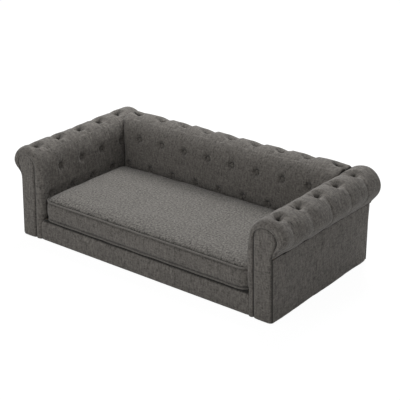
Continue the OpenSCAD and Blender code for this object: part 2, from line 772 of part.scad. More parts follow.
// Cover with its crown and band, open below for the foam
band_shares = [0, 0.22, 0.5, 0.78, 1];
crown_shares = [0.985, 0.95, 0.88, 0.74, 0.56, 0.36, 0.16];
crown_power = 9;
module cushion_cover() {
    ring = cushion_ring(seam_set);
    n = len(ring);
    cavity = cushion_ring(cushion_wall);
    ceiling = cushion_top - core_drop;
    function band_out(p, f) =
        sin(180 * f) * (p[3] > 0.9 ? 0 : band_bulge - (1 - p[4] * p[4]) * band_draw);
    band = [for (f = band_shares) for (p = ring)
        [p.x + p[2] * band_out(p, f), p.y + p[3] * band_out(p, f), lerp(cushion_z, cushion_top, f)]];
    crown = [for (s = crown_shares) for (p = ring)
        [p.x * s, p.y * s, cushion_top + cushion_crown * (1 - pow(s, crown_power))]];
    walls = concat([for (p = cavity) [p.x, p.y, cushion_z]], [for (p = cavity) [p.x, p.y, ceiling]]);
    outer = concat(band, crown, [[0, 0, cushion_top + cushion_crown]]);
    rings = len(band_shares) + len(crown_shares);
    apex = rings * n;
    lo = apex + 1;
    hi = lo + n;
    roof = hi + n;
    function nx(k) = (k + 1) % n;
    faces = concat(
        [for (q = [0 : rings - 2]) for (k = [0 : n - 1])
            each [[q * n + k, (q + 1) * n + k, (q + 1) * n + nx(k)],
                  [q * n + k, (q + 1) * n + nx(k), q * n + nx(k)]]],
        [for (k = [0 : n - 1]) [(rings - 1) * n + k, apex, (rings - 1) * n + nx(k)]],
        [for (k = [0 : n - 1])
            each [[lo + k, k, nx(k)], [lo + k, nx(k), lo + nx(k)]]],
        [for (k = [0 : n - 1])
            each [[hi + k, lo + k, lo + nx(k)], [hi + k, lo + nx(k), hi + nx(k)]]],
        [for (k = [0 : n - 1]) [roof, hi + k, hi + nx(k)]]);
    color(cloth) translate([0, cushion_mid, 0])
        polyhedron(points = concat(outer, walls, [[0, 0, ceiling]]), faces = faces);
}

// Plan of the cushion as an exact outline, set in by a distance
module cushion_plan(set_in) {
    w = cushion_half - set_in;
    d = cushion_deep - set_in;
    r = cushion_corner_r - set_in;
    translate([-w + r, -d]) square([2 * (w - r), 2 * d]);
    translate([-w, -d + r]) square([2 * w, 2 * (d - r)]);
    for (x = [-1, 1]) for (y = [-1, 1]) translate([x * (w - r), y * (d - r)]) circle(r = r);
}

module cushion_core() {
    color(foam) translate([0, cushion_mid, cushion_z + soft_gap])
        linear_extrude(cushion_h - core_drop - 2 * soft_gap) cushion_plan(cushion_wall + soft_gap * 2);
}

module cushion_bottom_panel() {
    color(cloth_dark) translate([0, cushion_mid, cushion_z - bottom_panel_t])
        linear_extrude(bottom_panel_t) cushion_plan(seam_set);
}

// Piping along a seam of the cushion
module cushion_piping(z) {
    w = cushion_half;
    d = cushion_deep;
    r = cushion_corner_r;
    color(cloth_dark) translate([0, cushion_mid, z]) {
        for (m = [0, 1]) mirror([m, 0, 0])
            translate([w, -d + r, 0]) rotate([-90, 0, 0]) cylinder(r = piping_r, h = 2 * (d - r));
        for (m = [0, 1]) mirror([0, m, 0])
            translate([-w + r, d, 0]) rotate([0, 90, 0]) cylinder(r = piping_r, h = 2 * (w - r));
        for (q = [[1, 1, 0], [-1, 1, 90], [-1, -1, 180], [1, -1, 270]])
            translate([q[0] * (w - r), q[1] * (d - r), 0])
                rotate_extrude(angle = 90, start = q[2]) translate([r, 0]) circle(r = piping_r);
    }
}

module cushion_top_piping() { cushion_piping(cushion_top); }
module cushion_bottom_piping() { cushion_piping(cushion_z); }

// Zip along the rear band: tape, chain, slider and pull
band_rear = cushion_rear - seam_set;
tape_y = band_rear + soft_gap / 3;
chain_y = tape_y + tape_t;
slider_y = chain_y + chain_t + soft_gap / 3;
slider_x = -zip_len / 2 + slider_l;
module zip_tapes() {
    color(cloth_dark) for (m = [-1, 1])
        translate([-zip_len / 2, tape_y, zip_z + m * (tape_w + chain_w * 0.1) / 2 - tape_w / 2])
            cube([zip_len, tape_t, tape_w]);
}

module zip_chain() {
    color(plastic) translate([-zip_len / 2, chain_y, zip_z - chain_w / 2])
        cube([zip_len, chain_t, chain_w]);
}

lug_t = 1.6;
lug_gap = 2.2;
module zip_slider() {
    color(steel) {
        translate([slider_x - slider_l / 2, slider_y, zip_z - slider_w / 2])
            cube([slider_l, slider_t / 2, slider_w]);
        for (m = [-1, 1])
            translate([slider_x - lug_t, slider_y, zip_z + m * (pull_w + lug_gap) / 2 - lug_t / 2])
                cube([2 * lug_t, slider_t + lug_t, lug_t]);
        translate([slider_x, pull_y, zip_z - (pull_w + lug_gap) / 2])
            cylinder(r = pin_r, h = pull_w + lug_gap);
    }
}

// Pull tab on the slider's pin, lying along the chain
pull_clear = 0.2;
pull_y = slider_y + slider_t / 2 + 2 * pin_r + pull_clear;
module zip_pull() {
    color(steel) difference() {
        union() {
            translate([slider_x, pull_y, zip_z - pull_w / 2]) cylinder(r = pin_r * 2, h = pull_w);
            translate([slider_x, pull_y - pull_t / 2, zip_z - pull_w / 2])
                cube([pull_l - pull_w / 2, pull_t, pull_w]);
            translate([slider_x + pull_l - pull_w / 2, pull_y + pull_t / 2, zip_z]) rotate([90, 0, 0])
                cylinder(r = pull_w / 2, h = pull_t);
        }
        translate([slider_x, pull_y, zip_z - pull_w / 2 - cut_over])
            cylinder(r = pin_r + pin_clear, h = pull_w + 2 * cut_over);
        translate([slider_x + pull_l - pull_w / 2, pull_y + cut_over, zip_z]) rotate([90, 0, 0])
            cylinder(r = pull_w / 5, h = 2 * cut_over);
    }
}

base_front_rail();
base_rear_rail();
base_side_rails();
base_cross_rails();
base_corner_blocks();
platform_board();
platform_deck_cloth();
front_apron_pad();
front_border_pads();
dust_cover();
glides();
glide_nails();
left() arm_front_board();  // left_arm_front_board
left() arm_rear_board();  // left_arm_rear_board
left() arm_rails();  // left_arm_rails
left() arm_inner_panel();  // left_arm_inner_panel
left() arm_outer_panel();  // left_arm_outer_panel
left() arm_roll_former();  // left_arm_roll_former
left() arm_pad();  // left_arm_pad
left() arm_buttons();  // left_arm_buttons
left() arm_outer_cover();  // left_arm_outer_cover
left() arm_front_facing();  // left_arm_front_facing
left() arm_facing_welt();  // left_arm_facing_welt
left() arm_rear_facing();  // left_arm_rear_facing
arm_front_board();  // right_arm_front_board
arm_rear_board();  // right_arm_rear_board
arm_rails();  // right_arm_rails
arm_inner_panel();  // right_arm_inner_panel
arm_outer_panel();  // right_arm_outer_panel
arm_roll_former();  // right_arm_roll_former
arm_pad();  // right_arm_pad
arm_buttons();  // right_arm_buttons
arm_outer_cover();  // right_arm_outer_cover
arm_front_facing();  // right_arm_front_facing
arm_facing_welt();  // right_arm_facing_welt
arm_rear_facing();  // right_arm_rear_facing
back_end_boards();
back_rails();
back_inner_panel();
back_outer_panel();
back_roll_former();
back_pad();
back_buttons();
back_outer_cover();
assembly_bolts();
bolt_washers();
tee_nuts();
cushion_core();
cushion_cover();
cushion_bottom_panel();
cushion_top_piping();
cushion_bottom_piping();
zip_tapes();
zip_chain();
zip_slider();
zip_pull();
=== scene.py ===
import math
from math import pi

import bpy
import numpy as np
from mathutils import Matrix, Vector
from numpy import array, clip, concatenate, linspace, maximum, where, zeros
from numpy.linalg import norm


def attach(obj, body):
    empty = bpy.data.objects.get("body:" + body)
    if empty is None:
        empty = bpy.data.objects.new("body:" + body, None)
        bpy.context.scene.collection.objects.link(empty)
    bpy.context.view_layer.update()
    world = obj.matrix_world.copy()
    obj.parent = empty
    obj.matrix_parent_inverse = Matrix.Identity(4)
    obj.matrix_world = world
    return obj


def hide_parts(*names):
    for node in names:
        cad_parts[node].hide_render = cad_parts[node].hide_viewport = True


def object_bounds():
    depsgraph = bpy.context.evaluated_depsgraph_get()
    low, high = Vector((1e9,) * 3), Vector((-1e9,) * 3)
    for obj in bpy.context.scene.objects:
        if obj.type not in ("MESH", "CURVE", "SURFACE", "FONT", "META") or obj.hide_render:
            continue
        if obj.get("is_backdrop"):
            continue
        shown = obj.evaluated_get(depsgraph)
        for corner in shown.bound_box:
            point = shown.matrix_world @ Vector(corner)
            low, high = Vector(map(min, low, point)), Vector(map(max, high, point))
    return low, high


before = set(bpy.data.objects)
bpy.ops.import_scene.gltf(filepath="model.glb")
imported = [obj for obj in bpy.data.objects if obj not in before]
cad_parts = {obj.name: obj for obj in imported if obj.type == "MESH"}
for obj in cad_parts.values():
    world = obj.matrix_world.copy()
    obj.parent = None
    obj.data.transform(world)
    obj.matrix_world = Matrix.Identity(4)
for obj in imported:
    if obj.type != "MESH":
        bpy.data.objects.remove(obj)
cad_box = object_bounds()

SIDES = (("right", 1), ("left", -1))


# ---- helpers
def xyz(*parts):
    """Points or directions from their coordinates, given as numbers and arrays."""
    return np.stack(np.broadcast_arrays(*parts), -1)


def unit(v):
    return clip(v, 0, 1)


def ramp(v, start, width):
    """Goes smoothly from 0 to 1 while v goes from start to start + width."""
    v = unit((v - start) / width)
    return v * v * (3 - 2 * v)


def bell(v, width, power=2):
    """1 where v is 0, fading to both sides within about width."""
    return np.exp(-(np.abs(v / width) ** power))


def wobble(u, v, scale, seed):
    """Smooth unevenness from -1 to 1 over (u, v), with features about scale wide."""
    r = np.random.default_rng(seed)
    total = zeros(np.broadcast(u, v).shape)
    for _ in range(9):
        a = r.uniform(0, 2 * pi)
        k = 2 * pi / (scale * r.uniform(0.7, 1.6))
        total = total + np.sin(k * (u * math.cos(a) + v * math.sin(a)) + r.uniform(0, 6.28))
    return total / 3.0


def lengths(p):
    """Way from the start along the first axis of an array of points."""
    seg = norm(np.diff(p, axis=0), axis=-1)
    return concatenate([zeros((1,) + seg.shape[1:]), np.cumsum(seg, axis=0)])


def fine_ends(half, steps, count):
    """Places from -half to half: steps counted from both ends, and count even ones between."""
    edge = array(steps)
    even = linspace(edge[-1] - half, half - edge[-1], count)
    return concatenate([edge[:-1] - half, even, half - edge[-2::-1]])


def new_object(name, data):
    obj = bpy.data.objects.new(name, data)
    bpy.context.scene.collection.objects.link(obj)
    return obj


def add_mesh(name, nodes, verts, faces, mat=None, body="sofa", places=None,
             corner=None, painted_shading=None, other=None, in_other=None):
    """Mesh object in the place of the solids' nodes.

    places gives every point its place on the flat cloth and corner every face corner; the shading
    attribute after them is painted shade on each point, with a painted highlight where it is below 0;
    other is the material of the faces in_other."""
    mesh = bpy.data.meshes.new(name)
    verts = np.asarray(verts, np.float32)
    sizes = array([len(f) for f in faces], np.int32)
    loops = concatenate([np.asarray(f, np.int32) for f in faces])
    starts = concatenate([[0], np.cumsum(sizes)[:-1]]).astype(np.int32)
    mesh.vertices.add(len(verts))
    mesh.vertices.foreach_set("co", verts.ravel())
    mesh.loops.add(len(loops))
    mesh.loops.foreach_set("vertex_index", loops)
    mesh.polygons.add(len(sizes))
    mesh.polygons.foreach_set("loop_start", starts)
    mesh.update(calc_edges=True)
    mesh.validate()
    for values, label, kind, field, domain in (
            (places, "cloth", "FLOAT_VECTOR", "vector", "POINT"),
            (corner, "cloth", "FLOAT_VECTOR", "vector", "CORNER"),
            (painted_shading, "painted_shading", "FLOAT", "value", "POINT")):
        if values is not None:
            layer = mesh.attributes.new(label, kind, domain)
            layer.data.foreach_set(field, np.asarray(values, np.float32).ravel())
    mesh.polygons.foreach_set("use_smooth", np.full(len(sizes), True))
    obj = new_object(name, mesh)
    mesh.materials.append(mat or cloth)
    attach(obj, body)
    if other is not None:
        mesh.materials.append(other)
        mesh.polygons.foreach_set("material_index", np.asarray(in_other, int))
    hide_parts(*nodes)


def outward(verts, faces):
    """The faces turned so that the closed form has its normals outside."""
    if not isinstance(faces, np.ndarray):
        quads = array([(f + f[-1:])[:4] for f in faces])
        return faces if outward(verts, quads) is quads else [f[::-1] for f in faces]
    p = verts[faces]
    a, b, c = (p[:, k] - p[:, 0] for k in (1, 2, 3))
    volume = (p[:, 0] * (np.cross(a, b) + np.cross(b, c))).sum()
    return faces if volume > 0 else faces[:, ::-1]


def shell(outer, inner, quads, places):
    """Closed form between a sheet and its lining: (points, faces, cloth places, points used)."""
    outer, inner, places = (v.reshape(-1, 3) for v in (outer, inner, places))
    used = np.unique(quads)
    remap = -np.ones(len(outer), int)
    remap[used] = np.arange(len(used))
    q = remap[quads]
    n = len(used)
    edges = concatenate([q[:, [k, (k + 1) % 4]] for k in range(4)])
    key = edges.min(1) * n + edges.max(1)
    _, first, count = np.unique(key, return_index=True, return_counts=True)
    rim = edges[np.sort(first[count == 1])]
    sides = np.stack([rim[:, 1], rim[:, 0], rim[:, 0] + n, rim[:, 1] + n], -1)
    pts = concatenate([outer[used], inner[used]])
    faces = outward(pts, concatenate([q, q[:, ::-1] + n, sides]))
    return pts, faces, concatenate([places[used]] * 2), used


def on_side(sign, pts, faces):
    """The right side's form as it is (1), or mirrored for the left (-1)."""
    if sign > 0:
        return pts, faces
    return pts * array([-1.0, 1.0, 1.0]), [f[::-1] for f in faces]


def grid_quads(n, m):
    i, j = np.arange(n - 1)[:, None], np.arange(m - 1)[None, :]
    corners = [i * m + j, (i + 1) * m + j, (i + 1) * m + j + 1, i * m + j + 1]
    return np.stack(corners, -1).reshape(-1, 4)


def ring_form(rings, ends, closed=False):
    """Closed form through rings of points, with a fan to each end unless it meets itself."""
    n, k, _ = rings.shape
    pts = rings.reshape(-1, 3)
    faces = []
    for i in range(n if closed else n - 1):
        i2 = (i + 1) % n
        for j in range(k):
            j2 = (j + 1) % k
            faces.append((i * k + j, i * k + j2, i2 * k + j2, i2 * k + j))
    if not closed:
        pts = concatenate([pts, ends])
        for j in range(k):
            j2 = (j + 1) % k
            faces += [(n * k, j2, j), (n * k + 1, (n - 1) * k + j, (n - 1) * k + j2)]
    return pts, outward(pts, faces)


def tube(path, radius, sides, closed=False, up=(0, 0, 1)):
    """Round tube along points: (points, faces, cloth places)."""
    tan = np.roll(path, -1, 0) - np.roll(path, 1, 0) if closed else np.gradient(path, axis=0)
    tan /= norm(tan, axis=1)[:, None]
    side = np.cross(tan, np.asarray(up, float))
    side /= norm(side, axis=1)[:, None]
    top = np.cross(side, tan)
    ang = linspace(0, 2 * pi, sides, endpoint=False)
    cos, sin = np.cos(ang)[:, None], np.sin(ang)[:, None]
    ring = side[:, None, :] * cos + top[:, None, :] * sin
    pts, faces = ring_form(path[:, None, :] + ring * radius, path[[0, -1]], closed)
    cloth = xyz(lengths(path)[:, None], ang * radius, 0.0)
    ends = zeros((0, 3)) if closed else cloth[[0, -1], 0]
    return pts, faces, concatenate([cloth.reshape(-1, 3), ends])


# ---- materials
def new(tree, kind):
    return tree.nodes.new("ShaderNode" + kind)


def noise(tree, vector, scale, detail, rough, stretch=(1, 1, 1)):
    """Noise over coordinates in metres, with features about 1 / scale wide."""
    mapping = new(tree, "Mapping")
    mapping.inputs["Scale"].default_value = [scale * s for s in stretch]
    tree.links.new(vector, mapping.inputs["Vector"])
    tex = new(tree, "TexNoise")
    for socket, value in (("Scale", 1.0), ("Detail", detail), ("Roughness", rough)):
        tex.inputs[socket].default_value = value
    tree.links.new(mapping.outputs["Vector"], tex.inputs["Vector"])
    return tex.outputs["Fac"]


def maths(tree, op, *values):
    node = new(tree, "Math")
    node.operation = op
    for value, socket in zip(values, node.inputs):
        if isinstance(value, (int, float)):
            socket.default_value = value
        else:
            tree.links.new(value, socket)
    return node.outputs["Value"]


def sum_of(tree, *parts):
    total = parts[0]
    for part in parts[1:]:
        total = maths(tree, "ADD", total, part)
    return total


def weighted(tree, *pairs):
    """Sum of noises counted from their middle, each times its weight."""
    return sum_of(tree, *[maths(tree, "MULTIPLY", maths(tree, "SUBTRACT", fac, 0.5), weight)
                          for fac, weight in pairs])


def attribute(tree, name, output):
    node = new(tree, "Attribute")
    node.attribute_name = name
    return node.outputs[output]


def surface(name, colour, build, settings):
    """Material whose colour is scaled, roughened and raised as build(tree) says."""
    mat = bpy.data.materials.new(name)
    mat.use_nodes = True
    tree = mat.node_tree
    shader = tree.nodes["Principled BSDF"]
    factor, rough, height, strength, distance = build(tree)
    mix = new(tree, "VectorMath")
    mix.operation = "SCALE"
    mix.inputs[0].default_value = colour
    bump = new(tree, "Bump")
    bump.inputs["Strength"].default_value = strength
    bump.inputs["Distance"].default_value = distance
    for value, socket in ((factor, mix.inputs["Scale"]), (height, bump.inputs["Height"]),
                          (mix.outputs["Vector"], shader.inputs["Base Color"]),
                          (rough, shader.inputs["Roughness"]),
                          (bump.outputs["Normal"], shader.inputs["Normal"])):
        tree.links.new(value, socket)
    for socket, value in settings.items():
        shader.inputs[socket].default_value = value
    return mat


THREAD = 0.0009


def linen(name, colour, on_cloth=True, streak=0.3, mottle=0.1, sheen=0.25):
    """Heathered linen: slubby warp streaks, weft, a fine plain weave and soft mottling, darkened by
    the painted shade that each mesh carries and lightened where it carries a painted highlight.
    """
    def build(tree):
        if on_cloth:
            pos = attribute(tree, "cloth", "Vector")
        else:
            pos = new(tree, "TexCoord").outputs["Object"]
        sep = new(tree, "SeparateXYZ")
        tree.links.new(pos, sep.inputs["Vector"])
        warp = noise(tree, pos, 215, 2.0, 0.6, (1.0, 0.22, 0.22))
        weft = noise(tree, pos, 215, 2.0, 0.6, (0.22, 1.0, 0.22))
        blotch = noise(tree, pos, 165, 2.0, 0.7)
        broad = noise(tree, pos, 9, 1.0, 0.5)
        u, v = [maths(tree, "SINE", maths(tree, "MULTIPLY", sep.outputs[axis], pi / THREAD))
                for axis in "XY"]
        grain = maths(tree, "MULTIPLY", u, v)
        shade = weighted(tree, (warp, streak * 5.0), (weft, streak * 2.4), (blotch, mottle * 11.0),
                         (broad, 0.1))
        shade = sum_of(tree, shade, maths(tree, "MULTIPLY", grain, 0.07), 1.0)
        # painted shade: the mesh's shading attribute darkens the colour, and where it is below 0 it
        # lightens it as a painted highlight
        in_light = maths(tree, "SUBTRACT", 1.0, attribute(tree, "painted_shading", "Fac"))
        height = sum_of(tree, *[maths(tree, "MULTIPLY", fac, weight)
                                for fac, weight in ((grain, 0.35), (warp, 1.0), (weft, 0.7))])
        rough = maths(tree, "ADD", maths(tree, "MULTIPLY", warp, 0.16), 0.8)
        return maths(tree, "MULTIPLY", shade, in_light), rough, height, 0.35, 0.0012
    return surface(name, colour, build, {"Sheen Weight": sheen, "Sheen Roughness": 0.45,
                                         "Specular IOR Level": 0.18})


def plain(name, colour, rough, metallic=0.0, grain=120, spread=0.12, bump=0.1, specular=0.5,
          stretch=(1, 1, 1)):
    def build(tree):
        pos = new(tree, "TexCoord").outputs["Object"]
        fine = noise(tree, pos, grain, 3.0, 0.6, stretch)
        broad = noise(tree, pos, grain / 12, 2.0, 0.5, stretch)
        factor = maths(tree, "ADD", weighted(tree, (fine, spread * 2), (broad, spread)), 1.0)
        uneven = maths(tree, "ADD", maths(tree, "MULTIPLY", fine, 0.15), rough - 0.07)
        return factor, uneven, fine, bump, 0.0006
    return surface(name, colour, build, {"Metallic": metallic, "Specular IOR Level": specular})


cloth = linen("linen_cover", (0.162, 0.15, 0.136), streak=0.28, mottle=0.16)
cloth_top = linen("linen_cushion_top", (0.176, 0.166, 0.152), streak=0.13, mottle=0.31)
cloth_trim = linen("linen_trim", (0.15, 0.139, 0.125), streak=0.16)
cloth_cord = linen("linen_cord", (0.172, 0.161, 0.146), streak=0.1)
# near-black cloth that paints shadow: on the pads' hems under the rolls, the cords in the front
# panels' grooves and the cord under each roll
painted_shadow_cloth = linen("painted_shadow_cloth", (0.048, 0.045, 0.041), False, 0.1, 0.05, 0.05)
deck_mat = linen("deck_cloth", (0.045, 0.043, 0.041), False, 0.1, 0.05, 0.1)
dust_mat = linen("dust_cloth", (0.016, 0.016, 0.017), False, 0.1, 0.08, 0.05)
pine = plain("pine", (0.52, 0.36, 0.2), 0.6, grain=260, spread=0.16, specular=0.3,
             stretch=(0.08, 1, 1))
ply = plain("plywood", (0.45, 0.32, 0.19), 0.65, grain=300, spread=0.18, specular=0.3,
            stretch=(1, 0.1, 1))
foam = plain("foam", (0.66, 0.56, 0.34), 0.95, grain=900, spread=0.1, bump=0.5, specular=0.1)
zinc = plain("zinc_steel", (0.55, 0.56, 0.57), 0.38, metallic=1.0, grain=500, spread=0.08)
nickel = plain("zip_metal", (0.36, 0.35, 0.34), 0.32, metallic=1.0, grain=700, spread=0.06)
plastic = plain("black_plastic", (0.02, 0.02, 0.021), 0.5, grain=900, spread=0.1)

# ---- sizes, in metres
FLOOR_Z, Z0 = 0.0, 0.003
HALF_W = 0.5
Y_FRONT, BODY_REAR = -0.27, 0.258
SIDE_LEAN, BACK_LEAN = 0.0065, 0.014
NECK_Z, BACK_NECK_Z = 0.2002, 0.1961
PAD_FOOT = 0.0775
PITCH = 0.099
# both pads: centre and radius of the roll, the same of its former, where the faces of pad and
# panel stand, and the angle at which the section begins in the crease
ARM_C, ARM_R = array([0.4745, 0.258]), 0.0605
ARM_CORE_C, ARM_CORE_R = array([0.469, 0.251]), 0.0316
ARM_FACE, ARM_CORE_FACE = 0.414, 0.4375
ARM_A0 = math.radians(-66)
ARM_ARC = ARM_R * (pi - ARM_A0)
ARM_T = ARM_ARC + ARM_C[1]
BACK_C, BACK_R = array([0.202, 0.2575]), 0.068
BACK_CORE_C, BACK_CORE_R = array([0.198, 0.251]), 0.0406
BACK_FACE, BACK_CORE_FACE = 0.134, 0.1577
BACK_A0 = math.radians(-60)
BACK_ARC = BACK_R * (pi - BACK_A0)
BACK_T = BACK_ARC + BACK_C[1]
BACK_HALF = 0.4137
# rows of buttons: angle of the top one, heights of the middle and the low one
ARM_TOP_A, ARM_MID_Z, ARM_LOW_Z = math.radians(88), 0.235, 0.153
BACK_TOP_A, BACK_MID_Z, BACK_LOW_Z = math.radians(85), 0.254, 0.156
ARM_TUFT_Y, BACK_TUFT_X, BACK_TUFT_SHARE = -0.02, 0.007, 0.994
BUTTON_FLOOR = 0.0062
BUTTON_DEEP, BUTTON_DEEP_TOP = 0.0086, 0.0262
PIT_SMALL, REACH_SMALL = 0.0105, (0.0155, 0.018, 0.0165)
# an arm pad's ends, its lip under the crease, and how much flatter its roll is at some angles
ARM_PAD_Y = (-0.262, 0.264)
LIP = 0.0075
ARM_DROP = ([-66, -56, -46, -34, -20, -6, 10, 30],
            [0.03, 0.085, 0.12, 0.118, 0.08, 0.04, 0.012, 0.0])
TAPER_AT = [-66, -56, -44, -30, -14, 4]
TAPER = {1: [0.0015, 0.005, 0.0085, 0.008, 0.004, 0.0],
         -1: [0.0095, 0.012, 0.012, 0.0085, 0.004, 0.0]}
# head of each arm's front panel: centre, half width, foot, how far its outer side stands out
HEAD_Z, HEAD_R = 0.256, 0.0348
NECK_A = math.radians(-30)
HEADS = {"right": (0.4678, 0.0392, 0.4345, 0.0), "left": (0.472, 0.037, 0.4435, 0.0042)}
REAR_HEAD = (0.469, 0.038, 0.438)
ARM_SAG = {"right": 0.0012, "left": 0.0042}


def side_x(z, set_in=0.0):
    return HALF_W - set_in - SIDE_LEAN * (z - Z0) / (NECK_Z - Z0)


def rear_y(z, set_in=0.0):
    return BODY_REAR - set_in - BACK_LEAN * (z - Z0) / (BACK_NECK_Z - Z0)


def flare(x, y, z):
    """How far the outer side of an arm stands further out towards its rear."""
    return 0.005 * ramp(y, 0, 0.24) * unit(z / 0.2) * ramp(x, 0.43, 0.05)


def arm_lift(y, z, sag):
    """How far an arm's roll sags, with its rear end a little higher than its front."""
    return ramp(z, 0.22, 0.06) * (0.0022 * clip(y / 0.22, -1, 1) - sag)


def back_sag(x, z):
    return 0.0034 * ramp(z, 0.24, 0.06) * ramp(x, 0.36, -0.26)


# ---- cloth over padding
def slices(n, m):
    """Pairs of grid slices that hold the cloth's threads, its bias and its stiffness in bending."""
    full = slice(None)
    res = []
    for k in (0, 1):
        here, there = slice(k, n - 1, 2), slice(k + 1, n, 2)
        res.append(((here, full), (there, full), 1.0))
        res.append(((full, slice(k, m - 1, 2)), (full, slice(k + 1, m, 2)), 1.0))
        res.append(((here, slice(0, m - 1)), (there, slice(1, m)), 0.35))
        res.append(((here, slice(1, m)), (there, slice(0, m - 1)), 0.35))
    for k in range(4):
        res.append(((slice(k, n - 2, 4), full), (slice(k + 2, n, 4), full), 0.12))
        res.append(((full, slice(k, m - 2, 4)), (full, slice(k + 2, m, 4)), 0.12))
    return res


def grid_normals(p):
    c = np.cross(np.gradient(p, axis=0), np.gradient(p, axis=1))
    return c / maximum(norm(c, axis=2), 1e-12)[:, :, None]


ROUNDS, PUSH, EXCESS = 50, 0.00012, 0.008


def relax(start, free, crest, out, highest, lowest):
    """Cloth drawn over padding, cut a little larger than the sheet that it starts from.

    The padding pushes it outwards, pinned points stay, and it keeps within highest and
    lowest of the crest, measured along out."""
    p = start.copy()
    links = []
    for a, b, stiff in slices(*p.shape[:2]):
        rest = norm(start[b] - start[a], axis=2) * (1 + EXCESS)
        wa, wb = free[a], free[b]
        total = maximum(wa + wb, 1e-6)
        links.append((a, b, rest, stiff * wa / total, stiff * wb / total, stiff > 0.9))
    turn = 1.0 if (grid_normals(p) * out).sum() > 0 else -1.0
    for k in range(ROUNDS):
        if k % 4 == 0:
            normal = grid_normals(p) * turn
        p += (PUSH * free)[:, :, None] * normal
        for a, b, rest, wa, wb, thread in links:
            d = p[b] - p[a]
            far = np.sqrt((d * d).sum(2)) + 1e-12
            err = (far - rest) / far
            err = where(err > 0, err, err * (0.25 if thread else 0.6))
            d *= err[:, :, None]
            p[a] += d * wa[:, :, None]
            p[b] -= d * wb[:, :, None]
        h = ((p - crest) * out).sum(2)
        over = where(h > highest, highest - h, where(h < lowest, lowest - h, 0.0)) * (free > 0)
        p += over[:, :, None] * out
    return p


def finer(p):
    """Twice as many cells both ways, through the old points on smooth curves."""
    for axis in (0, 1):
        p = np.moveaxis(p, axis, 0)
        ext = concatenate([2 * p[:1] - p[1:2], p, 2 * p[-1:] - p[-2:-1]])
        res = np.empty((2 * len(p) - 1,) + p.shape[1:])
        res[0::2] = p
        res[1::2] = (9 * (ext[1:-2] + ext[2:-1]) - ext[:-3] - ext[3:]) / 16
        p = np.moveaxis(res, 0, axis)
    return p


def drape(crest, out, free, q, t, buttons, high, dips):
    """The cloth with its dips, relaxed over the padding and made finer."""
    for qb, tb in buttons:
        free[np.hypot(q - qb, t - tb) < BUTTON_FLOOR] = 0
    high = high - 0.8 * dips * (t < buttons[0][1] + 0.045)
    sheet = crest - dips[:, :, None] * out
    sheet = relax(sheet, free, crest, out, high, -dips - 0.001)
    return finer(sheet)


def tufts(count, middle, share, heights):
    """Buttons of a pad in three rows, the second between the places of the others."""
    wide = [PITCH * (k - (count - 1) / 2) * share + middle for k in range(count)]
    between = [PITCH * (k - count / 2 + 1) * share + middle for k in range(count - 1)]
    return [(q, t) for row, t in zip((wide, between, wide), heights) for q in row]


def pits(q, t, buttons, deep, reach):
    """Depth of the funnels: deep[k] on button k, none beyond reach[k] along q and t."""
    d = zeros(q.shape)
    for k, (qb, tb) in enumerate(buttons):
        rho = np.hypot(q - qb, t - tb)
        wide, far, near = reach[k]
        a = np.arctan2(t - tb, q - qb)
        long = where(a > 0, near, far)
        edge = 1 / np.sqrt((np.cos(a) / wide) ** 2 + (np.sin(a) / long) ** 2)
        f = unit(1 - (rho - BUTTON_FLOOR) / (edge - BUTTON_FLOOR))
        d = maximum(d, deep[k] * where(rho < BUTTON_FLOOR, 1.0, f ** 1.15))
    return d


def creases(q, t, buttons, depth=0.0055, low=0.0024, width=0.011):
    """Soft valleys along the diamonds between the buttons, deeper between the first two rows."""
    d = zeros(q.shape)
    first = min(tb for _, tb in buttons)
    for k, (qa, ta) in enumerate(buttons):
        for qb, tb in buttons[k + 1:]:
            dq, dt = qb - qa, tb - ta
            if not (0.04 < abs(dq) < 0.06 and 0.02 < abs(dt) < 0.15):
                continue
            length = math.hypot(dq, dt)
            s = ((q - qa) * dq + (t - ta) * dt) / length ** 2
            off = ((q - qa) * dt - (t - ta) * dq) / length
            sc = unit(s)
            dist = np.hypot(off, (s - sc) * length)
            deep = depth if min(ta, tb) < first + 0.01 else low
            d = maximum(d, deep * (1 - 0.45 * np.sin(pi * sc)) * bell(dist, width, 1.4))
    return d


def fold_shade(q, t, buttons, first, side, shift, dark):
    """Painted shade on the cloth: on the far walls of deep pits, on the tucks above small ones and
    along the creases, less a painted highlight on the near lip of each deep pit.
    """
    shade, light = zeros(q.shape), zeros(q.shape)
    for k, (qb, tb) in enumerate(buttons):
        if k < first:
            e = ((q - qb) / 0.02) ** 2 + ((t - tb - side * shift) / 0.0105) ** 2
            # painted highlight on the near lip of a deep pit
            lip = ((q - qb) / 0.018) ** 2 + ((t - tb + side * 0.02) / 0.005) ** 2
            light = maximum(light, 0.38 * np.exp(-lip))
            s = dark * np.exp(-(e ** 1.5))
        else:
            e = ((q - qb) / 0.0062) ** 2 + ((t - tb + 0.0045) / 0.013) ** 2
            s = 0.5 * np.exp(-e)
        shade = maximum(shade, s)
    return maximum(shade, 26.0 * creases(q, t, buttons, 0.0055, 0.003, 0.0042)) - light


def gathers(q, t, buttons, seed):
    """Small folds of cloth that run into each button."""
    r = np.random.default_rng(seed)
    d = zeros(q.shape)
    for qb, tb in buttons:
        rho = np.hypot(q - qb, t - tb)
        a = np.arctan2(t - tb, q - qb)
        f = zeros(q.shape)
        for k in (5, 7, 8, 11):
            f += r.uniform(0.3, 1.0) * np.cos(k * a + r.uniform(0, 6.28) + 40 * (rho - 0.01))
        d += where(rho < 0.045, 0.00055 * f * bell(rho - 0.013, 0.009), 0)
    return d


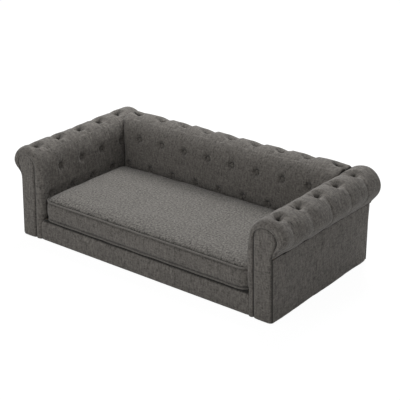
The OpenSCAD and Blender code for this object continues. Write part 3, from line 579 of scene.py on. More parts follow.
def pleats(q, t, buttons, seed):
    """Tucks of cloth from each button to the crease, laid over to one side, in a soft valley."""
    r = np.random.default_rng(seed)
    d = zeros(q.shape)
    for qb, tb in buttons:
        bend, wave, share = r.uniform(0.002, 0.01), r.uniform(0, 6.28), r.uniform(0.25, 1.25)
        s = (t - tb) / -tb
        off = q - (qb + bend * np.sin(unit(s) * pi) + 0.001 * np.sin(s * 8 + wave))
        cut = where(off > 0, bell(off, 0.0015, 1.3), bell(off, 0.0085, 1.5))
        valley = 0.003 * bell(off, 0.02) * (1 - 0.45 * unit(s))
        fade = ramp((s - 0.12) * 5, 0, 1) * (1 - 0.3 * unit(s))
        d += where((s > 0) & (s < 1.15), fade * (0.0026 * share * cut + valley), 0)
    return d


def arm_angle(t):
    return clip(ARM_A0 + t / ARM_R, ARM_A0, pi)


def lining_line(t, c, r, a0, core, core_r, face):
    """Inner line of a pad's section, on the hard former and panel, with t counted from the crease."""
    a = clip(a0 + t / r, a0, pi)
    on_face = t > r * (pi - a0)
    p = core + core_r * xyz(np.cos(a), np.sin(a))
    z = np.minimum(c[1] - maximum(0, t - r * (pi - a0)), core[1] + 1e-4)
    return where(on_face, face, p[..., 0]), where(on_face, z, p[..., 1])


def arm_profile(t):
    """Outer line of an arm pad's section and its outward direction, t counted from the crease."""
    a = arm_angle(t)
    out = xyz(np.cos(a), np.sin(a))
    z = ARM_C[1] - maximum(0, t - ARM_ARC)
    p = ARM_C + (ARM_R * (1 - np.interp(np.degrees(a), *ARM_DROP)))[..., None] * out
    tip_x = ARM_C[0] + ARM_R * (1 - ARM_DROP[1][0]) * math.cos(ARM_A0)
    tail = unit(-t / LIP)[..., None]
    p = p * (1 - tail) + array([0.4909, NECK_Z - 0.0006]) * tail
    p[..., 0] += (tip_x - p[..., 0]) * 0.15 * tail[..., 0] * (1 - tail[..., 0])
    x = where(t > ARM_ARC, ARM_FACE + 0.0027 * ramp(z, 0.0785, -0.01), p[..., 0])
    return xyz(x, where(t > ARM_ARC, z, p[..., 1])), out


def head_point(head, a):
    """Point at an angle on the head of a front panel."""
    return array([head[0], HEAD_Z]) + xyz(head[1] * np.cos(a), HEAD_R * np.sin(a))


def facing_leg_x(z, head):
    """Inner edge of the front panel below its head."""
    low = unit((HEAD_Z - z) / (HEAD_Z - Z0))
    return head[0] - head[1] + (head[2] - head[0] + head[1]) * low ** 1.15


def facing_edge(t, head):
    """Where the front panel's edge lies, for the same t as the pad's section."""
    a = arm_angle(t)
    neck = head_point(head, NECK_A)
    f = unit((NECK_A - a) / (NECK_A - ARM_A0))
    below = neck + (array([0.4944, NECK_Z + 0.0022]) - neck) * f[..., None]
    below = below - array([0.003, 0.0022]) * unit(-t / LIP)[..., None]
    z = ARM_C[1] - maximum(0, t - ARM_ARC)
    high = np.sqrt(maximum(1 - (maximum(z - HEAD_Z, 0) / HEAD_R) ** 2, 0))
    leg = xyz(where(z < HEAD_Z, facing_leg_x(z, head), head[0] - head[1] * high), z)
    join = ramp(t, ARM_ARC - 0.02, 0.02)[..., None]
    upper = where((a < NECK_A)[..., None], below, head_point(head, a))
    return upper * (1 - join) + leg * join


def rear_edge(t, head):
    """Where the rear panel's edge lies, for the same t."""
    a, on_face = arm_angle(t), t > ARM_ARC
    return facing_edge(t, head) + xyz(where(on_face, 0.003, -0.003 * np.cos(a)),
                                      where(on_face, 0.0, -0.003 * np.sin(a)))


def arm_sheet(head):
    """Grid of an arm pad's plain cloth: front lip, face, shoulder, body, shoulder, rear lip."""
    t_foot = ARM_T - PAD_FOOT
    t_floor = ARM_T - Z0
    parts = [[-LIP, -0.0048, -0.0022], linspace(0, ARM_ARC, 70),
             ARM_ARC + linspace(0, t_foot - ARM_ARC, 48)[1:], linspace(t_foot, t_floor, 18)[1:]]
    rows = concatenate(parts)
    foot_row = sum(len(part) for part in parts[:3]) - 1
    P, out = arm_profile(rows)
    plane, rear = Y_FRONT + 0.0008, ARM_PAD_Y[1]
    y_end = rear - 0.019
    cols = []

    def towards(edge, low, high, part):
        """Widths of shoulder and column lines from the section to a panel's edge."""
        width = norm(edge - P, axis=1)
        way = (edge - P) / maximum(width, 1e-6)[:, None]
        shoulder = clip(part * width, low, high)
        return width, way, shoulder, shoulder / maximum(width, 1e-6)

    def column(p, y):
        cols.append(xyz(p[:, 0], y, p[:, 1]))

    width, way, shoulder, share = towards(facing_edge(rows, head), 0.0015, 0.024, 0.56)
    depth = clip(0.7 * width, 0.002, 0.022)
    for s, dy in ((1.0, 0.0085), (0.985, 0.0056), (0.93, 0.0024), (0.82, 0.0007), (0.66, 0.0)):
        frac = share + (1 - share) * (s - 0.52) / 0.48
        column(P + way * (width * frac)[:, None], plane + dy)
    for a in linspace(0, pi / 2, 9):
        column(P + way * (shoulder * (1 - math.sin(a)))[:, None], plane + depth * (1 - math.cos(a)))
    n_front, y_start = len(cols), cols[-1][:, 1]
    for k in range(1, 117):
        column(P, y_start + (y_end - y_start) * k / 116)
    width, way, shoulder, share = towards(rear_edge(rows, REAR_HEAD), 0.0015, 0.021, 0.75)
    for a in linspace(pi / 2, 0, 8)[1:]:
        column(P + way * (shoulder * (1 - math.sin(a)))[:, None], y_end + 0.019 * math.cos(a))
    for s, dy in ((0.55, -0.0006), (0.8, 0.0), (0.97, 0.0016), (1.0, 0.0032)):
        column(P + way * (width * (share + (1 - share) * (s - 0.4) / 0.6))[:, None], rear - dy)
    return array(cols), rows, P, out, n_front, foot_row


def arm_cloth(seed, sag, wall, head):
    """The arm pad's cloth over its padding, with its lining, faces, places on the flat cloth, painted
    shading and the hem faces in the cloth that paints shadow.
    """
    heights = ARM_R * (ARM_TOP_A - ARM_A0), ARM_T - ARM_MID_Z, ARM_T - ARM_LOW_Z
    buttons = tufts(5, ARM_TUFT_Y, 1, heights)
    grid, rows, P, out2, n_front, foot_row = arm_sheet(head)
    n, m = grid.shape[:2]
    T = np.broadcast_to(rows[None, :], (n, m))
    Q, z = grid[:, :, 1], grid[:, :, 2]
    out = np.broadcast_to(xyz(out2[:, 0], 0.0, out2[:, 1])[None], (n, m, 3))
    away = norm(grid[:, :, [0, 2]] - P[None], axis=2)
    deep = [0.0275] * 5 + [PIT_SMALL] * 9
    reach = [(0.03, 0.036, 0.034)] * 5 + [REACH_SMALL] * 9
    dips = (pits(Q, T, buttons, deep, reach) + creases(Q, T, buttons)) * bell(away, 0.01)
    free = np.ones((n, m))
    free[:n_front - 2] = free[-10:] = 0
    free[:, :5] = free[:, foot_row - 3:] = 0
    high = 0.0036 * ramp(z, 0.15, 0.03) * ramp(Q, 0.16, -0.05) * ramp(z, 0.285, -0.05)
    start = drape(grid, out, free, Q, T, buttons, high, dips)
    base = finer(np.dstack([grid, out, T, away]))
    grid, out, T, away = base[:, :, :3], base[:, :, 3:6], base[:, :, 6], base[:, :, 7]
    Q, z = grid[:, :, 1], grid[:, :, 2]
    d = gathers(Q, T, buttons, seed) + pleats(Q, T, buttons[:5], seed + 1)
    d += 0.001 * wobble(Q, T, 0.09, seed + 2) - 0.0012 * bell(T - 0.003, 0.0035)
    front = ramp(Q, -0.225, -0.03) * ramp(z, 0.085, 0.02) * ramp(z, 0.25, -0.06)
    body = ramp(Q, 0.02, -0.16) * ramp(z, 0.158, 0.02) * ramp(z, 0.27, -0.06)
    d += np.interp(np.degrees(ARM_A0 + T / ARM_R), TAPER_AT, TAPER[wall]) * ramp(Q, -0.205, -0.05)
    d -= (T > ARM_ARC * 0.8) * (0.0055 * front + 0.003 * body * (1 - front))
    sheet = start - (d * bell(away, 0.01))[:, :, None] * out
    sheet[:, :, 2] += arm_lift(Q, sheet[:, :, 2], sag)
    sheet[:, :, 0] += flare(sheet[:, :, 0], sheet[:, :, 1], sheet[:, :, 2])
    n, m = sheet.shape[:2]
    foot = 2 * foot_row
    x, z = lining_line(T[0], ARM_C, ARM_R, ARM_A0, ARM_CORE_C, ARM_CORE_R, ARM_CORE_FACE)
    lining = xyz(x, clip(sheet[:, :, 1], ARM_PAD_Y[0] + 0.0002, ARM_PAD_Y[1] - 0.0002), z)
    strip = np.arange(m) > foot
    lining[:, strip, 1] = clip(sheet[:, strip, 1] + 0.002, -0.2618, -0.2465)
    lining[:, strip, 0] = maximum(lining[:, strip, 0] - 0.001, sheet[:, strip, 0] + 0.0015)
    quads = grid_quads(n, m)
    ci, rj = quads[:, 0] // m, quads[:, 0] % m
    # the hem rows tucked under the roll are marked for the near-black cloth, a painted shadow line
    # under the roll
    shadowed_hem = (rj < 6) & (grid[ci, rj, 1] > -0.238)
    ok = (rj < foot) | (grid[ci + 1, foot + 3, 1] < -0.2468)
    run = lengths(grid)
    u = run - run[2 * n_front] + grid[2 * n_front, :, 1]
    # painted shade in the pits and along the creases, with painted highlights on the near lips of the
    # top row
    painted_shading = fold_shade(Q, T, buttons, 5, wall, 0.005, 0.8)
    return sheet, lining, quads[ok], xyz(u, T + 3.0, 0.3 * wall), painted_shading, shadowed_hem[ok], buttons


def add_pad(name, nodes, sign, sheet, lining, quads, places, painted_shading, shadowed_hem=()):
    """Pad from its cloth and lining, with its painted shading, and the marked hem faces in the
    near-black cloth that paints the shadow under the roll.
    """
    pts, faces, places, used = shell(sheet, lining, quads, places)
    pts, faces = on_side(sign, pts, faces)
    painted_shading = concatenate([painted_shading.ravel()[used], zeros(len(used))])
    in_other = zeros(len(faces), int)
    in_other[:len(shadowed_hem)] = shadowed_hem
    add_mesh(name, nodes, pts, faces, places=places, painted_shading=painted_shading,
             other=painted_shadow_cloth if len(shadowed_hem) else None, in_other=in_other)


for (side, sign), seed in zip(SIDES, (11, 21)):
    *pad, arm_buttons = arm_cloth(seed, ARM_SAG[side], sign, HEADS[side])
    nodes = [side + "_arm_pad"] + (["front_border_pads"] if sign > 0 else [])
    add_pad(side + "_arm_padding", nodes, sign, *pad)


# ---- back pad
def back_profile(t):
    a = np.minimum(pi, BACK_A0 + t / BACK_R)
    out = xyz(np.cos(a), np.sin(a))
    p = BACK_C + BACK_R * out
    z = BACK_C[1] - maximum(0, t - BACK_ARC)
    on_face = t > BACK_ARC
    y = where(on_face, BACK_FACE + 0.017 * ramp(z, 0.1275, -0.019), p[..., 0])
    return xyz(y, where(on_face, z, p[..., 1])), out


def back_cloth(seed):
    t_foot = BACK_T - PAD_FOOT
    rows = concatenate([linspace(0, BACK_ARC, 70),
                           BACK_ARC + linspace(0, t_foot - BACK_ARC, 44)[1:]])
    heights = BACK_R * (BACK_TOP_A - BACK_A0), BACK_T - BACK_MID_Z, BACK_T - BACK_LOW_Z
    buttons = tufts(9, BACK_TUFT_X, BACK_TUFT_SHARE, heights)
    P, out2 = back_profile(rows)
    q = fine_ends(BACK_HALF, [0.0, 0.0012, 0.0036, 0.0072, 0.012, 0.017], 187)
    n, m = len(q), len(rows)
    Q = np.broadcast_to(q[:, None], (n, m))
    T = np.broadcast_to(rows[None, :], (n, m))
    # the ends of the roll reach into the hollow beside the arm rolls
    z = P[None, :, 1]
    arm_half = np.sqrt(maximum(ARM_R ** 2 - clip(z - ARM_C[1], 0, 0.05) ** 2, 0))
    reach = clip(ARM_C[0] - arm_half - ARM_FACE, 0, 0.03) * ramp(rows, 0.06, 0.05)[None, :]
    f = unit((np.abs(Q) - 0.35) / (BACK_HALF - 0.35))
    X = Q + np.sign(Q) * reach * f * f
    grid = xyz(X, P[:, 0], P[:, 1])
    out = np.broadcast_to(xyz(0.0, out2[:, 0], out2[:, 1])[None], (n, m, 3))
    r_end = where(Q > 0, 0.007, 0.02 + 0.004 * ramp(z, 0.262, 0.03))
    e = unit((r_end - (BACK_HALF + reach - np.abs(X))) / r_end)
    shoulder = r_end * (1 - np.sqrt(1 - e * e)) * 0.8
    deep = [0.0295] * 9 + [PIT_SMALL] * 17
    deep[0] = deep[8] = 0.018
    reach = [(0.032, 0.04, 0.026)] * 9 + [REACH_SMALL] * 17
    reach[0] = reach[8] = (0.02, 0.028, 0.024)
    dips = pits(Q, T, buttons, deep, reach) + creases(Q, T, buttons)
    free = np.ones((n, m))
    free[:3] = free[-3:] = 0
    free[:, :2] = free[:, -3:] = 0
    z = grid[:, :, 2]
    high = 0.0034 * ramp(z, 0.15, 0.03) * ramp(z, 0.29, -0.05) * ramp(np.abs(Q), BACK_HALF, -0.03)
    start = drape(grid - shoulder[:, :, None] * out, out, free, Q, T, buttons, high, dips)
    base = finer(np.dstack([out, Q, T]))
    out, Q, T = base[:, :, :3], base[:, :, 3], base[:, :, 4]
    d = gathers(Q, T, buttons, seed) + pleats(Q, T, buttons[:9], seed + 1)
    d = d + 0.0035 * bell(T, 0.006) + 0.0009 * wobble(Q, T, 0.1, seed + 2)
    sheet = start - d[:, :, None] * out
    sheet[:, :, 2] -= back_sag(sheet[:, :, 0], sheet[:, :, 2])
    y, z = lining_line(T[0], BACK_C, BACK_R, BACK_A0, BACK_CORE_C, BACK_CORE_R, BACK_CORE_FACE)
    lining = xyz(clip(sheet[:, :, 0], -BACK_HALF, BACK_HALF), y, z)
    # painted shade in the pits and along the creases, with painted highlights on the near lips of the
    # top row
    painted_shading = fold_shade(Q, T, buttons, 9, -1, 0.001, 0.93)
    return sheet, lining, grid_quads(*T.shape), xyz(Q, T + 7.0, 0.0), painted_shading, buttons


*pad, back_buttons = back_cloth(31)
add_pad("back_padding", ["back_pad"], 1, *pad)


# ---- covered buttons
def button_form(centre, axis, seed):
    """One covered button: a domed face with a gathered rim and a tapered back."""
    r = np.random.default_rng(seed)
    ref = array([0.0, 0.0, 1.0]) if abs(axis[2]) < 0.8 else array([0.0, 1.0, 0.0])
    e1 = np.cross(ref, axis)
    e1 /= norm(e1)
    e2 = np.cross(axis, e1)
    ang = linspace(0, 2 * pi, 28, endpoint=False)
    turn = r.uniform(0, 6.28)
    prof = [(0.0016, -0.007), (0.0045, -0.0035), (0.0067, -0.0006), (0.0071, 0.0006),
            (0.0069, 0.0016), (0.006, 0.0027), (0.0045, 0.0035), (0.0028, 0.00395), (0.0012, 0.0041)]
    rings = []
    for rad, h in prof:
        rr = rad * (1 + (0.035 if 0.006 < rad else 0) * np.sin(9 * ang + turn))
        across = e1 * (rr * np.cos(ang))[:, None] + e2 * (rr * np.sin(ang))[:, None]
        rings.append(centre + across + axis * h)
    pts, faces = ring_form(array(rings), [rings[0].mean(0), rings[-1].mean(0)])
    return pts, faces, xyz((pts - centre) @ e1, (pts - centre) @ e2, seed * 0.37)


def button_group(name, places, node, sign=1):
    parts, faces, start = [], [], 0
    for k, (centre, axis) in enumerate(places):
        p, f, c = button_form(array(centre, float), array(axis, float), k + 1)
        p, f = on_side(sign, p, f)
        parts.append((p, c))
        faces += [tuple(i + start for i in x) for x in f]
        start += len(p)
    pts, places = (concatenate(v) for v in zip(*parts))
    add_mesh(name, [node], pts, faces, cloth_trim, places=places)


def button_seat(profile, t, first):
    """Where a button sits in the section, and its direction there."""
    P, out = profile(array([t]))
    return P[0] - out[0] * (BUTTON_DEEP_TOP if first else BUTTON_DEEP), out[0]


for side, sign in SIDES:
    places = []
    for k, (y, t) in enumerate(arm_buttons):
        p, out = button_seat(arm_profile, t, k < 5)
        centre = (p[0] + flare(p[0], y, p[1]), y, p[1] + arm_lift(y, p[1], ARM_SAG[side]))
        places.append((centre, (out[0], 0.0, out[1])))
    button_group(side + "_arm_covered_buttons", places, side + "_arm_buttons", sign)
places = []
for k, (x, t) in enumerate(back_buttons):
    p, out = button_seat(back_profile, t, k < 9)
    places.append(((x, p[0], p[1] - back_sag(x, p[1])), (0.0, out[0], out[1])))
button_group("back_covered_buttons", places, "back_buttons")


# ---- arm facings
def facing_outline(z, head):
    """Inner and outer edge of the front panel at height z."""
    half = head[1] * np.sqrt(maximum(1 - ((z - HEAD_Z) / HEAD_R) ** 2, 0))
    left = where(z > HEAD_Z, head[0] - half, facing_leg_x(z, head))
    neck = head_point(head, NECK_A)
    low_x = side_x(NECK_Z, 0.001 - head[3])
    mid = low_x + (neck[0] - low_x) * ramp(z, NECK_Z, neck[1] - NECK_Z)
    body = side_x(z, 0.001 - head[3])
    return left, where(z > neck[1], head[0] + half, where(z > NECK_Z, mid, body))


def facing_mesh(y_back, y_plane, dome, set_in, direction, head):
    """Slightly domed panel, with painted shade along its rim. direction is -1 for the front and 1 for
    the rear.
    """
    zs = concatenate([linspace(Z0, HEAD_Z, 74),
                         HEAD_Z + HEAD_R * np.sin(linspace(0, pi / 2, 26))[1:-1],
                         [HEAD_Z + HEAD_R - 2e-5]])
    left, right = facing_outline(zs, head)
    s = (1 - np.cos(linspace(0, pi, 30))) / 2
    s = 0.5 * s + 0.5 * linspace(0, 1, 30)
    X = left[:, None] + (right - left)[:, None] * s[None, :]
    Z = np.broadcast_to(zs[:, None], X.shape)
    edge = concatenate([xyz(left, zs), xyz(right, zs)[::-1]])
    share = linspace(0, 1, 4, endpoint=False)[:, None]
    edge = concatenate([a + (b - a) * share for a, b in zip(edge[:-1], edge[1:])])
    flat = xyz(X, Z).reshape(-1, 2)
    dist = np.full(len(flat), 1.0)
    for k in range(0, len(edge), 50):
        dist = np.minimum(dist, norm(flat[:, None, :] - edge[None, k:k + 50, :], axis=2).min(1))
    dist = dist.reshape(X.shape)
    rise = dome * (1 - bell(dist, 0.004, 1.3))
    rise = rise + 0.0004 * wobble(X, Z, 0.05, 31) * unit(dist / 0.01)
    if set_in:
        cx = head[0] - 0.004
        X = cx + (X - cx) * (1 - set_in / 0.035)
        Z = Z0 + (Z - Z0) * (1 - set_in / 0.289)
    if direction > 0:
        X = X + flare(X, 0.26, Z)
    outer, inner = xyz(X, y_plane + direction * rise, Z), xyz(X, y_back, Z)
    pts, faces, c, used = shell(outer, inner, grid_quads(*X.shape), xyz(X, Z, 0.6))
    # painted shade along the panel's rim, in the groove round it
    rim = 0.6 * bell(dist.ravel()[used], 0.0036, 1.5)
    return pts, faces, c, concatenate([rim, rim])


FACINGS = (("front_panel", "front_facing", -0.2624, -0.263, 0.0066, 0, -1, 0.7),
           ("rear_panel", "rear_facing", 0.2545, 0.263, 0.005, 0.003, 1, 0.0))
for side, sign in SIDES:
    for name, node, y_back, y_plane, dome, set_in, direction, shift in FACINGS:
        head = HEADS[side] if direction < 0 else REAR_HEAD + (HEADS[side][3],)
        # rim carries the painted shade along each panel's edge
        pts, faces, c, rim = facing_mesh(y_back, y_plane, dome, set_in, direction, head)
        pts, faces = on_side(sign, pts, faces)
        add_mesh(side + "_arm_" + name, [side + "_arm_" + node], pts, faces,
                 places=c + array([sign * shift, 0, 0]), painted_shading=rim)


def facing_cord_path(head):
    """Up the inner edge of a front panel, over its head and down the outer edge."""
    up = linspace(Z0 + 0.002, HEAD_Z, 40)
    down = linspace(HEAD_Z - HEAD_R / 2, Z0 + 0.002, 40)[1:]
    over = head_point(head, linspace(pi, NECK_A, 46)[1:])
    pts = concatenate([xyz(facing_outline(up, head)[0], up), over,
                          xyz(facing_outline(down, head)[1], down)])
    return xyz(pts[:, 0], -0.2636, pts[:, 1])


for side, sign in SIDES:
    # the cord is real piping in the panel's groove; its near-black cloth paints the groove's shadow
    pts, faces, c = tube(facing_cord_path(HEADS[side]), 0.0017, 8, up=(0, 1, 0))
    pts, faces = on_side(sign, pts, faces)
    add_mesh(side + "_arm_facing_cord", [side + "_arm_facing_welt"], pts, faces, painted_shadow_cloth,
             places=c)


# ---- outer covers
def cover_shift(y):
    return 0.0135 * ramp(y, 0.1, 0.15)


def arm_side_mesh():
    """Cloth over the outer side of an arm, folded round its front edge, with a rolled top edge."""
    zs = concatenate([linspace(Z0 - 0.0005, NECK_Z - 0.0059, 66),
                         NECK_Z + array([-0.0041, -0.0027, -0.0017, -0.001, -0.0006])])
    ys = concatenate([[-0.2608, -0.2616, -0.2618, -0.2616, -0.2611, -0.2604, -0.2596, -0.2588],
                         linspace(-0.258, 0.243, 110), [0.2468, 0.2502, 0.2526, 0.2539, 0.2543]])
    x_in = concatenate([[0.0062, 0.0052, 0.004, 0.0028, 0.0018, 0.001, 0.0004, 0.0001],
                           zeros(110), [0.0004, 0.0011, 0.0022, 0.0034, 0.0046]])
    Y, Z = np.meshgrid(ys, zs, indexing="ij")
    bulge = 0.0011 * wobble(Y, Z, 0.16, 41) + 0.0004 * wobble(Y, Z, 0.05, 43)
    bulge = bulge * unit((Y + 0.259) / 0.04) * unit((0.247 - Y) / 0.03) - 0.0008
    rear_seam = -0.0012 * bell(Y - 0.232, 0.0016) + 0.0006 * bell(Y - 0.2365, 0.003)
    roll = array([0] * 66 + [-0.0002, -0.0006, -0.0013, -0.0021, -0.0028])
    X = side_x(Z) - x_in[:, None] + bulge + rear_seam
    X = X + (roll - 0.0006 * bell(zs - NECK_Z + 0.001, 0.006))[None, :]
    inner = xyz(np.minimum(side_x(Z, 0.0027), X - 0.0004), clip(Y, -0.2618, 0.2538),
                clip(Z, Z0, NECK_Z - 0.0001))
    outer = xyz(X + flare(X, Y, Z), Y + cover_shift(Y) * unit(Z / 0.2), Z)
    return outer, inner, grid_quads(*X.shape), xyz(lengths(outer), Z, 1.3)


side_pts, side_faces, side_places, _ = shell(*arm_side_mesh())
# a cord along the side cover's top edge under the roll; from y -0.212 rearwards it is near-black
# cloth, a painted shadow line under the roll
ys = linspace(-0.2606, 0.253, 90)
path = xyz(side_x(NECK_Z) - 0.0004 + flare(0.4935, ys, NECK_Z), ys + cover_shift(ys),
           NECK_Z - 0.0017)
hem_pts, hem_faces, hem_places = tube(path, 0.0019, 8)
start, n_cloth = len(side_pts), len(side_faces)
side_pts = concatenate([side_pts, hem_pts])
side_faces = [tuple(f) for f in side_faces] + [tuple(i + start for i in f) for f in hem_faces]
in_painted_shadow = [k >= n_cloth and side_pts[list(f), 1].mean() > -0.212 for k, f in enumerate(side_faces)]
for side, sign in SIDES:
    pts, faces = on_side(sign, side_pts + array([HEADS[side][3], 0, 0]), side_faces)
    add_mesh(side + "_arm_side_cover", [side + "_arm_outer_cover"], pts, faces,
             places=concatenate([side_places, hem_places]), other=painted_shadow_cloth, in_other=in_painted_shadow)


def back_cover_mesh():
    zs = concatenate([linspace(Z0 - 0.0005, 0.1905, 60), [0.1925, 0.1942, 0.1955, 0.1962, 0.1965]])
    half = 0.4377
    xs = fine_ends(half, [0.0, 0.0006, 0.002, 0.0045, 0.008], 170)
    X, Z = np.meshgrid(xs, zs, indexing="ij")
    X = X * (1 - (1 - BACK_HALF / half) * ramp(Z, 0.066, 0.01))
    e = unit((0.006 - (half - np.abs(xs))) / 0.006)
    Y = rear_y(Z) - (0.0022 * (1 - np.sqrt(1 - e * e)))[:, None]
    puff = 0.0012 * bell(zs - 0.1928, 0.0028) - 0.001 * bell(zs - 0.1865, 0.0018)
    roll = array([0] * 60 + [0.0002, 0.0, -0.0007, -0.0016, -0.0026])
    Y = Y + 0.001 * wobble(X, Z, 0.17, 51) - 0.0008 + (puff + roll)[None, :]
    inner = xyz(X, np.minimum(rear_y(Z, 0.0027), Y - 0.0004), clip(Z, Z0, 0.196))
    return xyz(X, Y, Z), inner, grid_quads(*X.shape), xyz(X, Z, 1.9)


pts, faces, c, _ = shell(*back_cover_mesh())
add_mesh("back_rear_cover", ["back_outer_cover"], pts, faces, places=c)


# ---- apron
def apron_mesh():
    half, r = 0.42, 0.0135
    front, rear, top = -0.266, -0.2463, 0.0722
    down, back = linspace(pi / 2, pi, 10), linspace(pi, pi / 2, 6)
    prof = concatenate([
        [(rear, Z0)], xyz(rear, linspace(0.02, top - 0.006, 6)),
        xyz(rear - 0.004 - 0.004 * np.cos(back), top - 0.004 + 0.004 * np.sin(back)),
        xyz(front + r + r * np.cos(down), top - r + r * np.sin(down)),
        xyz(front, linspace(top - r, Z0 + 0.002, 22)[1:]),
        [(front + 0.0008, Z0), (front + 0.006, Z0)]])
    xs = fine_ends(half, [0.0, 0.0008, 0.0026, 0.006, 0.011, 0.018], 150)
    rings = []
    for x in xs:
        e = max(0.0, (0.012 - (half - abs(x))) / 0.012)
        drop = 0.012 * (1 - math.sqrt(1 - e * e))
        y, z = prof[:, 0].copy(), prof[:, 1] - drop * ramp(prof[:, 1], 0.035, 0.035)
        bow = 0.0009 * wobble(np.full(len(z), x), z, 0.11, 61) * unit((z - Z0) / 0.01)
        swell = -0.0012 * np.sin(unit((z - Z0) / 0.065) * pi)
        for move in (0.35 * drop, bow, swell):
            y += move * (y < (front + rear) / 2)
        rings.append(xyz(x, y, z))
    rings = array(rings)
    pts, faces = ring_form(rings, [rings[0].mean(0), rings[-1].mean(0)])
    places = xyz(xs[:, None], lengths(prof)[None], 2.3).reshape(-1, 3)
    return pts, faces, concatenate([places, [[-half, 0, 2.3], [half, 0, 2.3]]])


pts, faces, c = apron_mesh()
# painted shade on the apron's top, in the gap under the cushion
gap_painted_shade = 0.8 * ramp(pts[:, 2], 0.0652, 0.0045) * (np.abs(pts[:, 0]) < 0.412)
add_mesh("front_apron", ["front_apron_pad"], pts, faces, places=c, painted_shading=gap_painted_shade)

# ---- cushion
CU_W, CU_D, CU_R = 0.41, 0.19275, 0.036
CU_MID = -0.06775
CU_Z0, CU_Z1 = 0.0758, 0.1403
CU_CROWN = 0.021
CU_BAND = 0.068
SEAM_IN, PIPE_R = 0.0036, 0.0027
CU_NX, CU_NY, CU_LEVELS = 135, 65, 11


def round_corner(x, y, w, d, r):
    """Moves the corners of a rectangular grid onto a rounded outline."""
    x, y = x.copy(), y.copy()
    ux, uy = (np.abs(x) - (w - r)) / r, (np.abs(y) - (d - r)) / r
    k = (ux > 0) & (uy > 0)
    a, b = ux[k], uy[k]
    x[k] = np.sign(x[k]) * (w - r + r * a * np.sqrt(1 - b * b / 2))
    y[k] = np.sign(y[k]) * (d - r + r * b * np.sqrt(1 - a * a / 2))
    return x, y


def cushion_mesh():
    """The whole casing: points, faces, their cloth places, the painted shade beside the piping and
    the number of top faces.
    """
    w, d, r = CU_W - SEAM_IN, CU_D - SEAM_IN, CU_R - SEAM_IN
    nx, ny = CU_NX, CU_NY
    X, Y = np.meshgrid(linspace(-w, w, nx), linspace(-d, d, ny), indexing="ij")
    SX, SY = np.abs(X / w), Y / d
    RX, RY = round_corner(X, Y, w, d, r)
    crown = unit(1 - SX ** 18) ** 0.6
    crown = crown * where(SY < 0, unit(1 - np.abs(SY) ** 8) ** 0.78,
                             unit(1 - np.abs(SY) ** 20) ** 0.6)
    top_z = CU_Z1 + CU_CROWN * crown + 0.0012 * wobble(RX, RY, 0.12, 71) * crown
    top = xyz(RX, RY + CU_MID, top_z).reshape(-1, 3)
    bottom = xyz(RX, RY + CU_MID, CU_Z0 - 0.0005 - 0.0012 * crown).reshape(-1, 3)
    at = np.arange(nx * ny).reshape(nx, ny)
    rim = concatenate([at[:, 0], at[-1, 1:], at[-2::-1, -1], at[0, -2:0:-1]])
    n, k = nx * ny, len(rim)
    loop = top[rim][:, :2]
    tan = np.roll(loop, -1, 0) - np.roll(loop, 1, 0)
    tan /= norm(tan, axis=1)[:, None]
    run = lengths(concatenate([loop, loop[:1]]))
    lx, ly = np.abs(loop[:, 0] / w), (loop[:, 1] - CU_MID) / d
    corner = unit((lx - 0.9) / 0.1) * unit((np.abs(ly) - 0.82) / 0.18)
    rear = ramp(ly, 0.84, 0.12)
    levels = linspace(0, 1, CU_LEVELS + 2)
    verts = [top, bottom]
    for f in levels[1:-1]:
        swell = math.sin(pi * f) ** 0.75
        puff = 0.007 * swell * (1 - 0.15 * corner)
        puff = puff + 0.0007 * wobble(run[:-1], np.full(k, f * CU_BAND), 0.13, 73) * (ly < 0.84)
        puff = where(lx > 0.985, puff * 0.8, puff) * (1 - rear) + 0.0032 * swell * rear
        z = CU_Z0 + (CU_Z1 - CU_Z0) * f
        verts.append(xyz(loop[:, 0] + tan[:, 1] * puff, loop[:, 1] - tan[:, 0] * puff, z))
    verts = concatenate(verts)
    quads = grid_quads(nx, ny)
    flat = xyz(RX, RY, 4.0).reshape(-1, 3)
    faces = [quads, quads[:, ::-1] + n]
    places = [flat[quads], flat[quads[:, ::-1]] + array([2, 0, 0])]
    rows = [n + rim] + [2 * n + a * k + np.arange(k) for a in range(CU_LEVELS)] + [rim]
    for lo, hi, h0, h1 in zip(rows[:-1], rows[1:], levels[:-1] * CU_BAND, levels[1:] * CU_BAND):
        faces.append(np.stack([lo, np.roll(lo, -1), np.roll(hi, -1), hi], -1))
        places.append(np.stack([xyz(u, h, 5.0) for u, h in (
            (run[:-1], h0), (run[1:], h0), (run[1:], h1), (run[:-1], h1))], 1))
    # painted shade in the seams beside the piping: on the edges of the top and bottom panels and the
    # band's first and last rows
    painted_shading = zeros(len(verts))
    painted_shading[rim] = painted_shading[n + rim] = 0.7
    painted_shading[2 * n:2 * n + k] = painted_shading[-k:] = 0.36
    faces, places = concatenate(faces), concatenate(places)
    if outward(verts, faces) is not faces:
        faces, places = faces[:, ::-1], places[:, ::-1]
    return verts, faces, places.reshape(-1, 3), painted_shading, len(quads)


pts, faces, places, painted_shading, top_faces = cushion_mesh()
add_mesh("cushion_casing", ["cushion_cover", "cushion_bottom_panel"], pts, faces, body="cushion",
         corner=places, painted_shading=painted_shading, other=cloth_top,
         in_other=np.arange(len(faces)) < top_faces)


def cushion_loop(w, d, r, step=0.006):
    """Points round a rounded rectangle, at most a step apart."""
    pts = []
    for sx, sy, a0 in ((1, 1, 0), (-1, 1, 90), (-1, -1, 180), (1, -1, 270)):
        for a in np.radians(linspace(a0, a0 + 90, 12)):
            pts.append((sx * (w - r) + r * math.cos(a), sy * (d - r) + r * math.sin(a)))
    pts = array(pts)
    res = []
    for a, b in zip(pts, np.roll(pts, -1, 0)):
        k = max(1, int(norm(b - a) / step))
        res += [a + (b - a) * f / k for f in range(k)]
    return array(res)


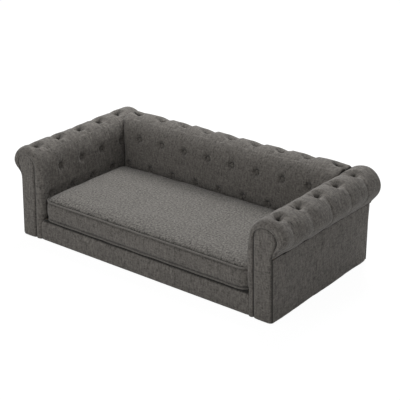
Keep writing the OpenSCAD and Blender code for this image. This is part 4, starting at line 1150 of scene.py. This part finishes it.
loop = cushion_loop(CU_W - 0.0008, CU_D - 0.0008, CU_R - 0.0008)
for name, z, node in (("cushion_top_cord", CU_Z1, "cushion_top_piping"),
                      ("cushion_bottom_cord", CU_Z0, "cushion_bottom_piping")):
    x, y = loop[:, 0], loop[:, 1] + CU_MID
    pts, faces, c = tube(xyz(x, y, z + 0.0005 * wobble(x, y, 0.12, 81)), PIPE_R, 12, closed=True)
    add_mesh(name, [node], pts, faces, cloth_cord, "cushion", c + array([0, 0, 0.5]))


# ---- carried-over parts
BOARDS = ("_board", "_boards", "_panel", "_former", "_blocks")
for mat, slot_name, names in (
        (plastic, "black_plastic", ["glides"]), (foam, "foam", ["cushion_core"]),
        (zinc, "zinc_steel", ["glide_nails", "assembly_bolts", "bolt_washers", "tee_nuts"]),
        (deck_mat, "deck_cloth", ["platform_deck_cloth"]), (dust_mat, "dust_cloth", ["dust_cover"]),
        (cloth_trim, "zip_tape", ["zip_tapes"]), (plastic, "zip_tape", ["zip_chain"]),
        (nickel, "zip_metal", ["zip_slider", "zip_pull"]),
        (pine, "softwood", [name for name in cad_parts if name.endswith(("_rail", "_rails"))]),
        (ply, "plywood", [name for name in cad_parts
                          if name.endswith(BOARDS) and name != "cushion_bottom_panel"])):
    for name in names:
        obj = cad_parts[name]
        obj.data.materials.clear()
        obj.data.materials.append(mat)


# ---- stage, light and camera
def seen(tree):
    """1 where the camera, gloss or glass looks at a surface, else 0."""
    path = new(tree, "LightPath").outputs
    camera, gloss, glass = (path["Is %s Ray" % kind] for kind in ("Camera", "Glossy", "Transmission"))
    return maths(tree, "MAXIMUM", camera, maths(tree, "MAXIMUM", gloss, glass))


def shading(tree, kind, colour, strength=None):
    node = new(tree, kind)
    node.inputs["Color"].default_value = (colour, colour, colour, 1)
    if strength is not None:
        node.inputs["Strength"].default_value = strength
    return node.outputs[0]


def blend_out(tree, share, first, second, output):
    """Sends first to the output where share is 0, and second where it is 1."""
    mix, end = new(tree, "MixShader"), new(tree, output)
    for value, socket in ((share, mix.inputs["Fac"]), (first, mix.inputs[1]), (second, mix.inputs[2]),
                          (mix.outputs["Shader"], end.inputs["Surface"])):
        tree.links.new(value, socket)


floor_mat = bpy.data.materials.new("floor_paper")
world = bpy.data.worlds.new("studio")
for owner in (floor_mat, world):
    owner.use_nodes = True
    owner.node_tree.nodes.clear()
tree = floor_mat.node_tree
blend_out(tree, maths(tree, "MULTIPLY", seen(tree), 0.82), shading(tree, "BsdfDiffuse", 0.72),
          shading(tree, "Emission", 1, 1.16), "OutputMaterial")
tree = world.node_tree
blend_out(tree, seen(tree), shading(tree, "Background", 1, 0.355),
          shading(tree, "Background", 1, 1.0), "OutputWorld")
bpy.context.scene.world = world
mesh = bpy.data.meshes.new("floor")
corners = [(x, y, FLOOR_Z) for x, y in ((-9, -9), (9, -9), (9, 9), (-9, 9))]
mesh.from_pydata(corners, [], [(0, 1, 2, 3)])
mesh.materials.append(floor_mat)
new_object("floor", mesh)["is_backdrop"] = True


def aimed(name, data, location, look):
    """Light or camera at a place, looking along a direction."""
    obj = new_object(name, data)
    obj.location = location
    obj.rotation_euler = look.to_track_quat("-Z", "Y").to_euler()
    return obj


LIT_POINT = Vector((0.0, 0.0, 0.15))
for name, location, size, power in (("overhead", (-0.75, 1.6, 2.6), 1.5, 65),
                                    ("front_fill", (-0.5, -3.1, 1.2), 2.0, 18)):
    data = bpy.data.lights.new(name, "AREA")
    data.shape = "SQUARE"
    data.size = size
    data.energy = power
    aimed(name, data, location, LIT_POINT - Vector(location))

data = bpy.data.cameras.new("camera")
data.lens = 98.23
data.sensor_width = 36
data.clip_end = 50
azimuth, elevation = math.radians(38.069), math.radians(23.005)
look = Vector((-math.sin(azimuth) * math.cos(elevation), math.cos(azimuth) * math.cos(elevation),
               -math.sin(elevation)))
bpy.context.scene.camera = aimed("camera", data, (2.00305, -2.51483, 1.52858), look)
bpy.context.scene.view_settings.view_transform = "Standard"

size = {"cad": [[float(x) for x in corner] for corner in cad_box],
        "visual": [[float(x) for x in corner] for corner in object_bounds()]}
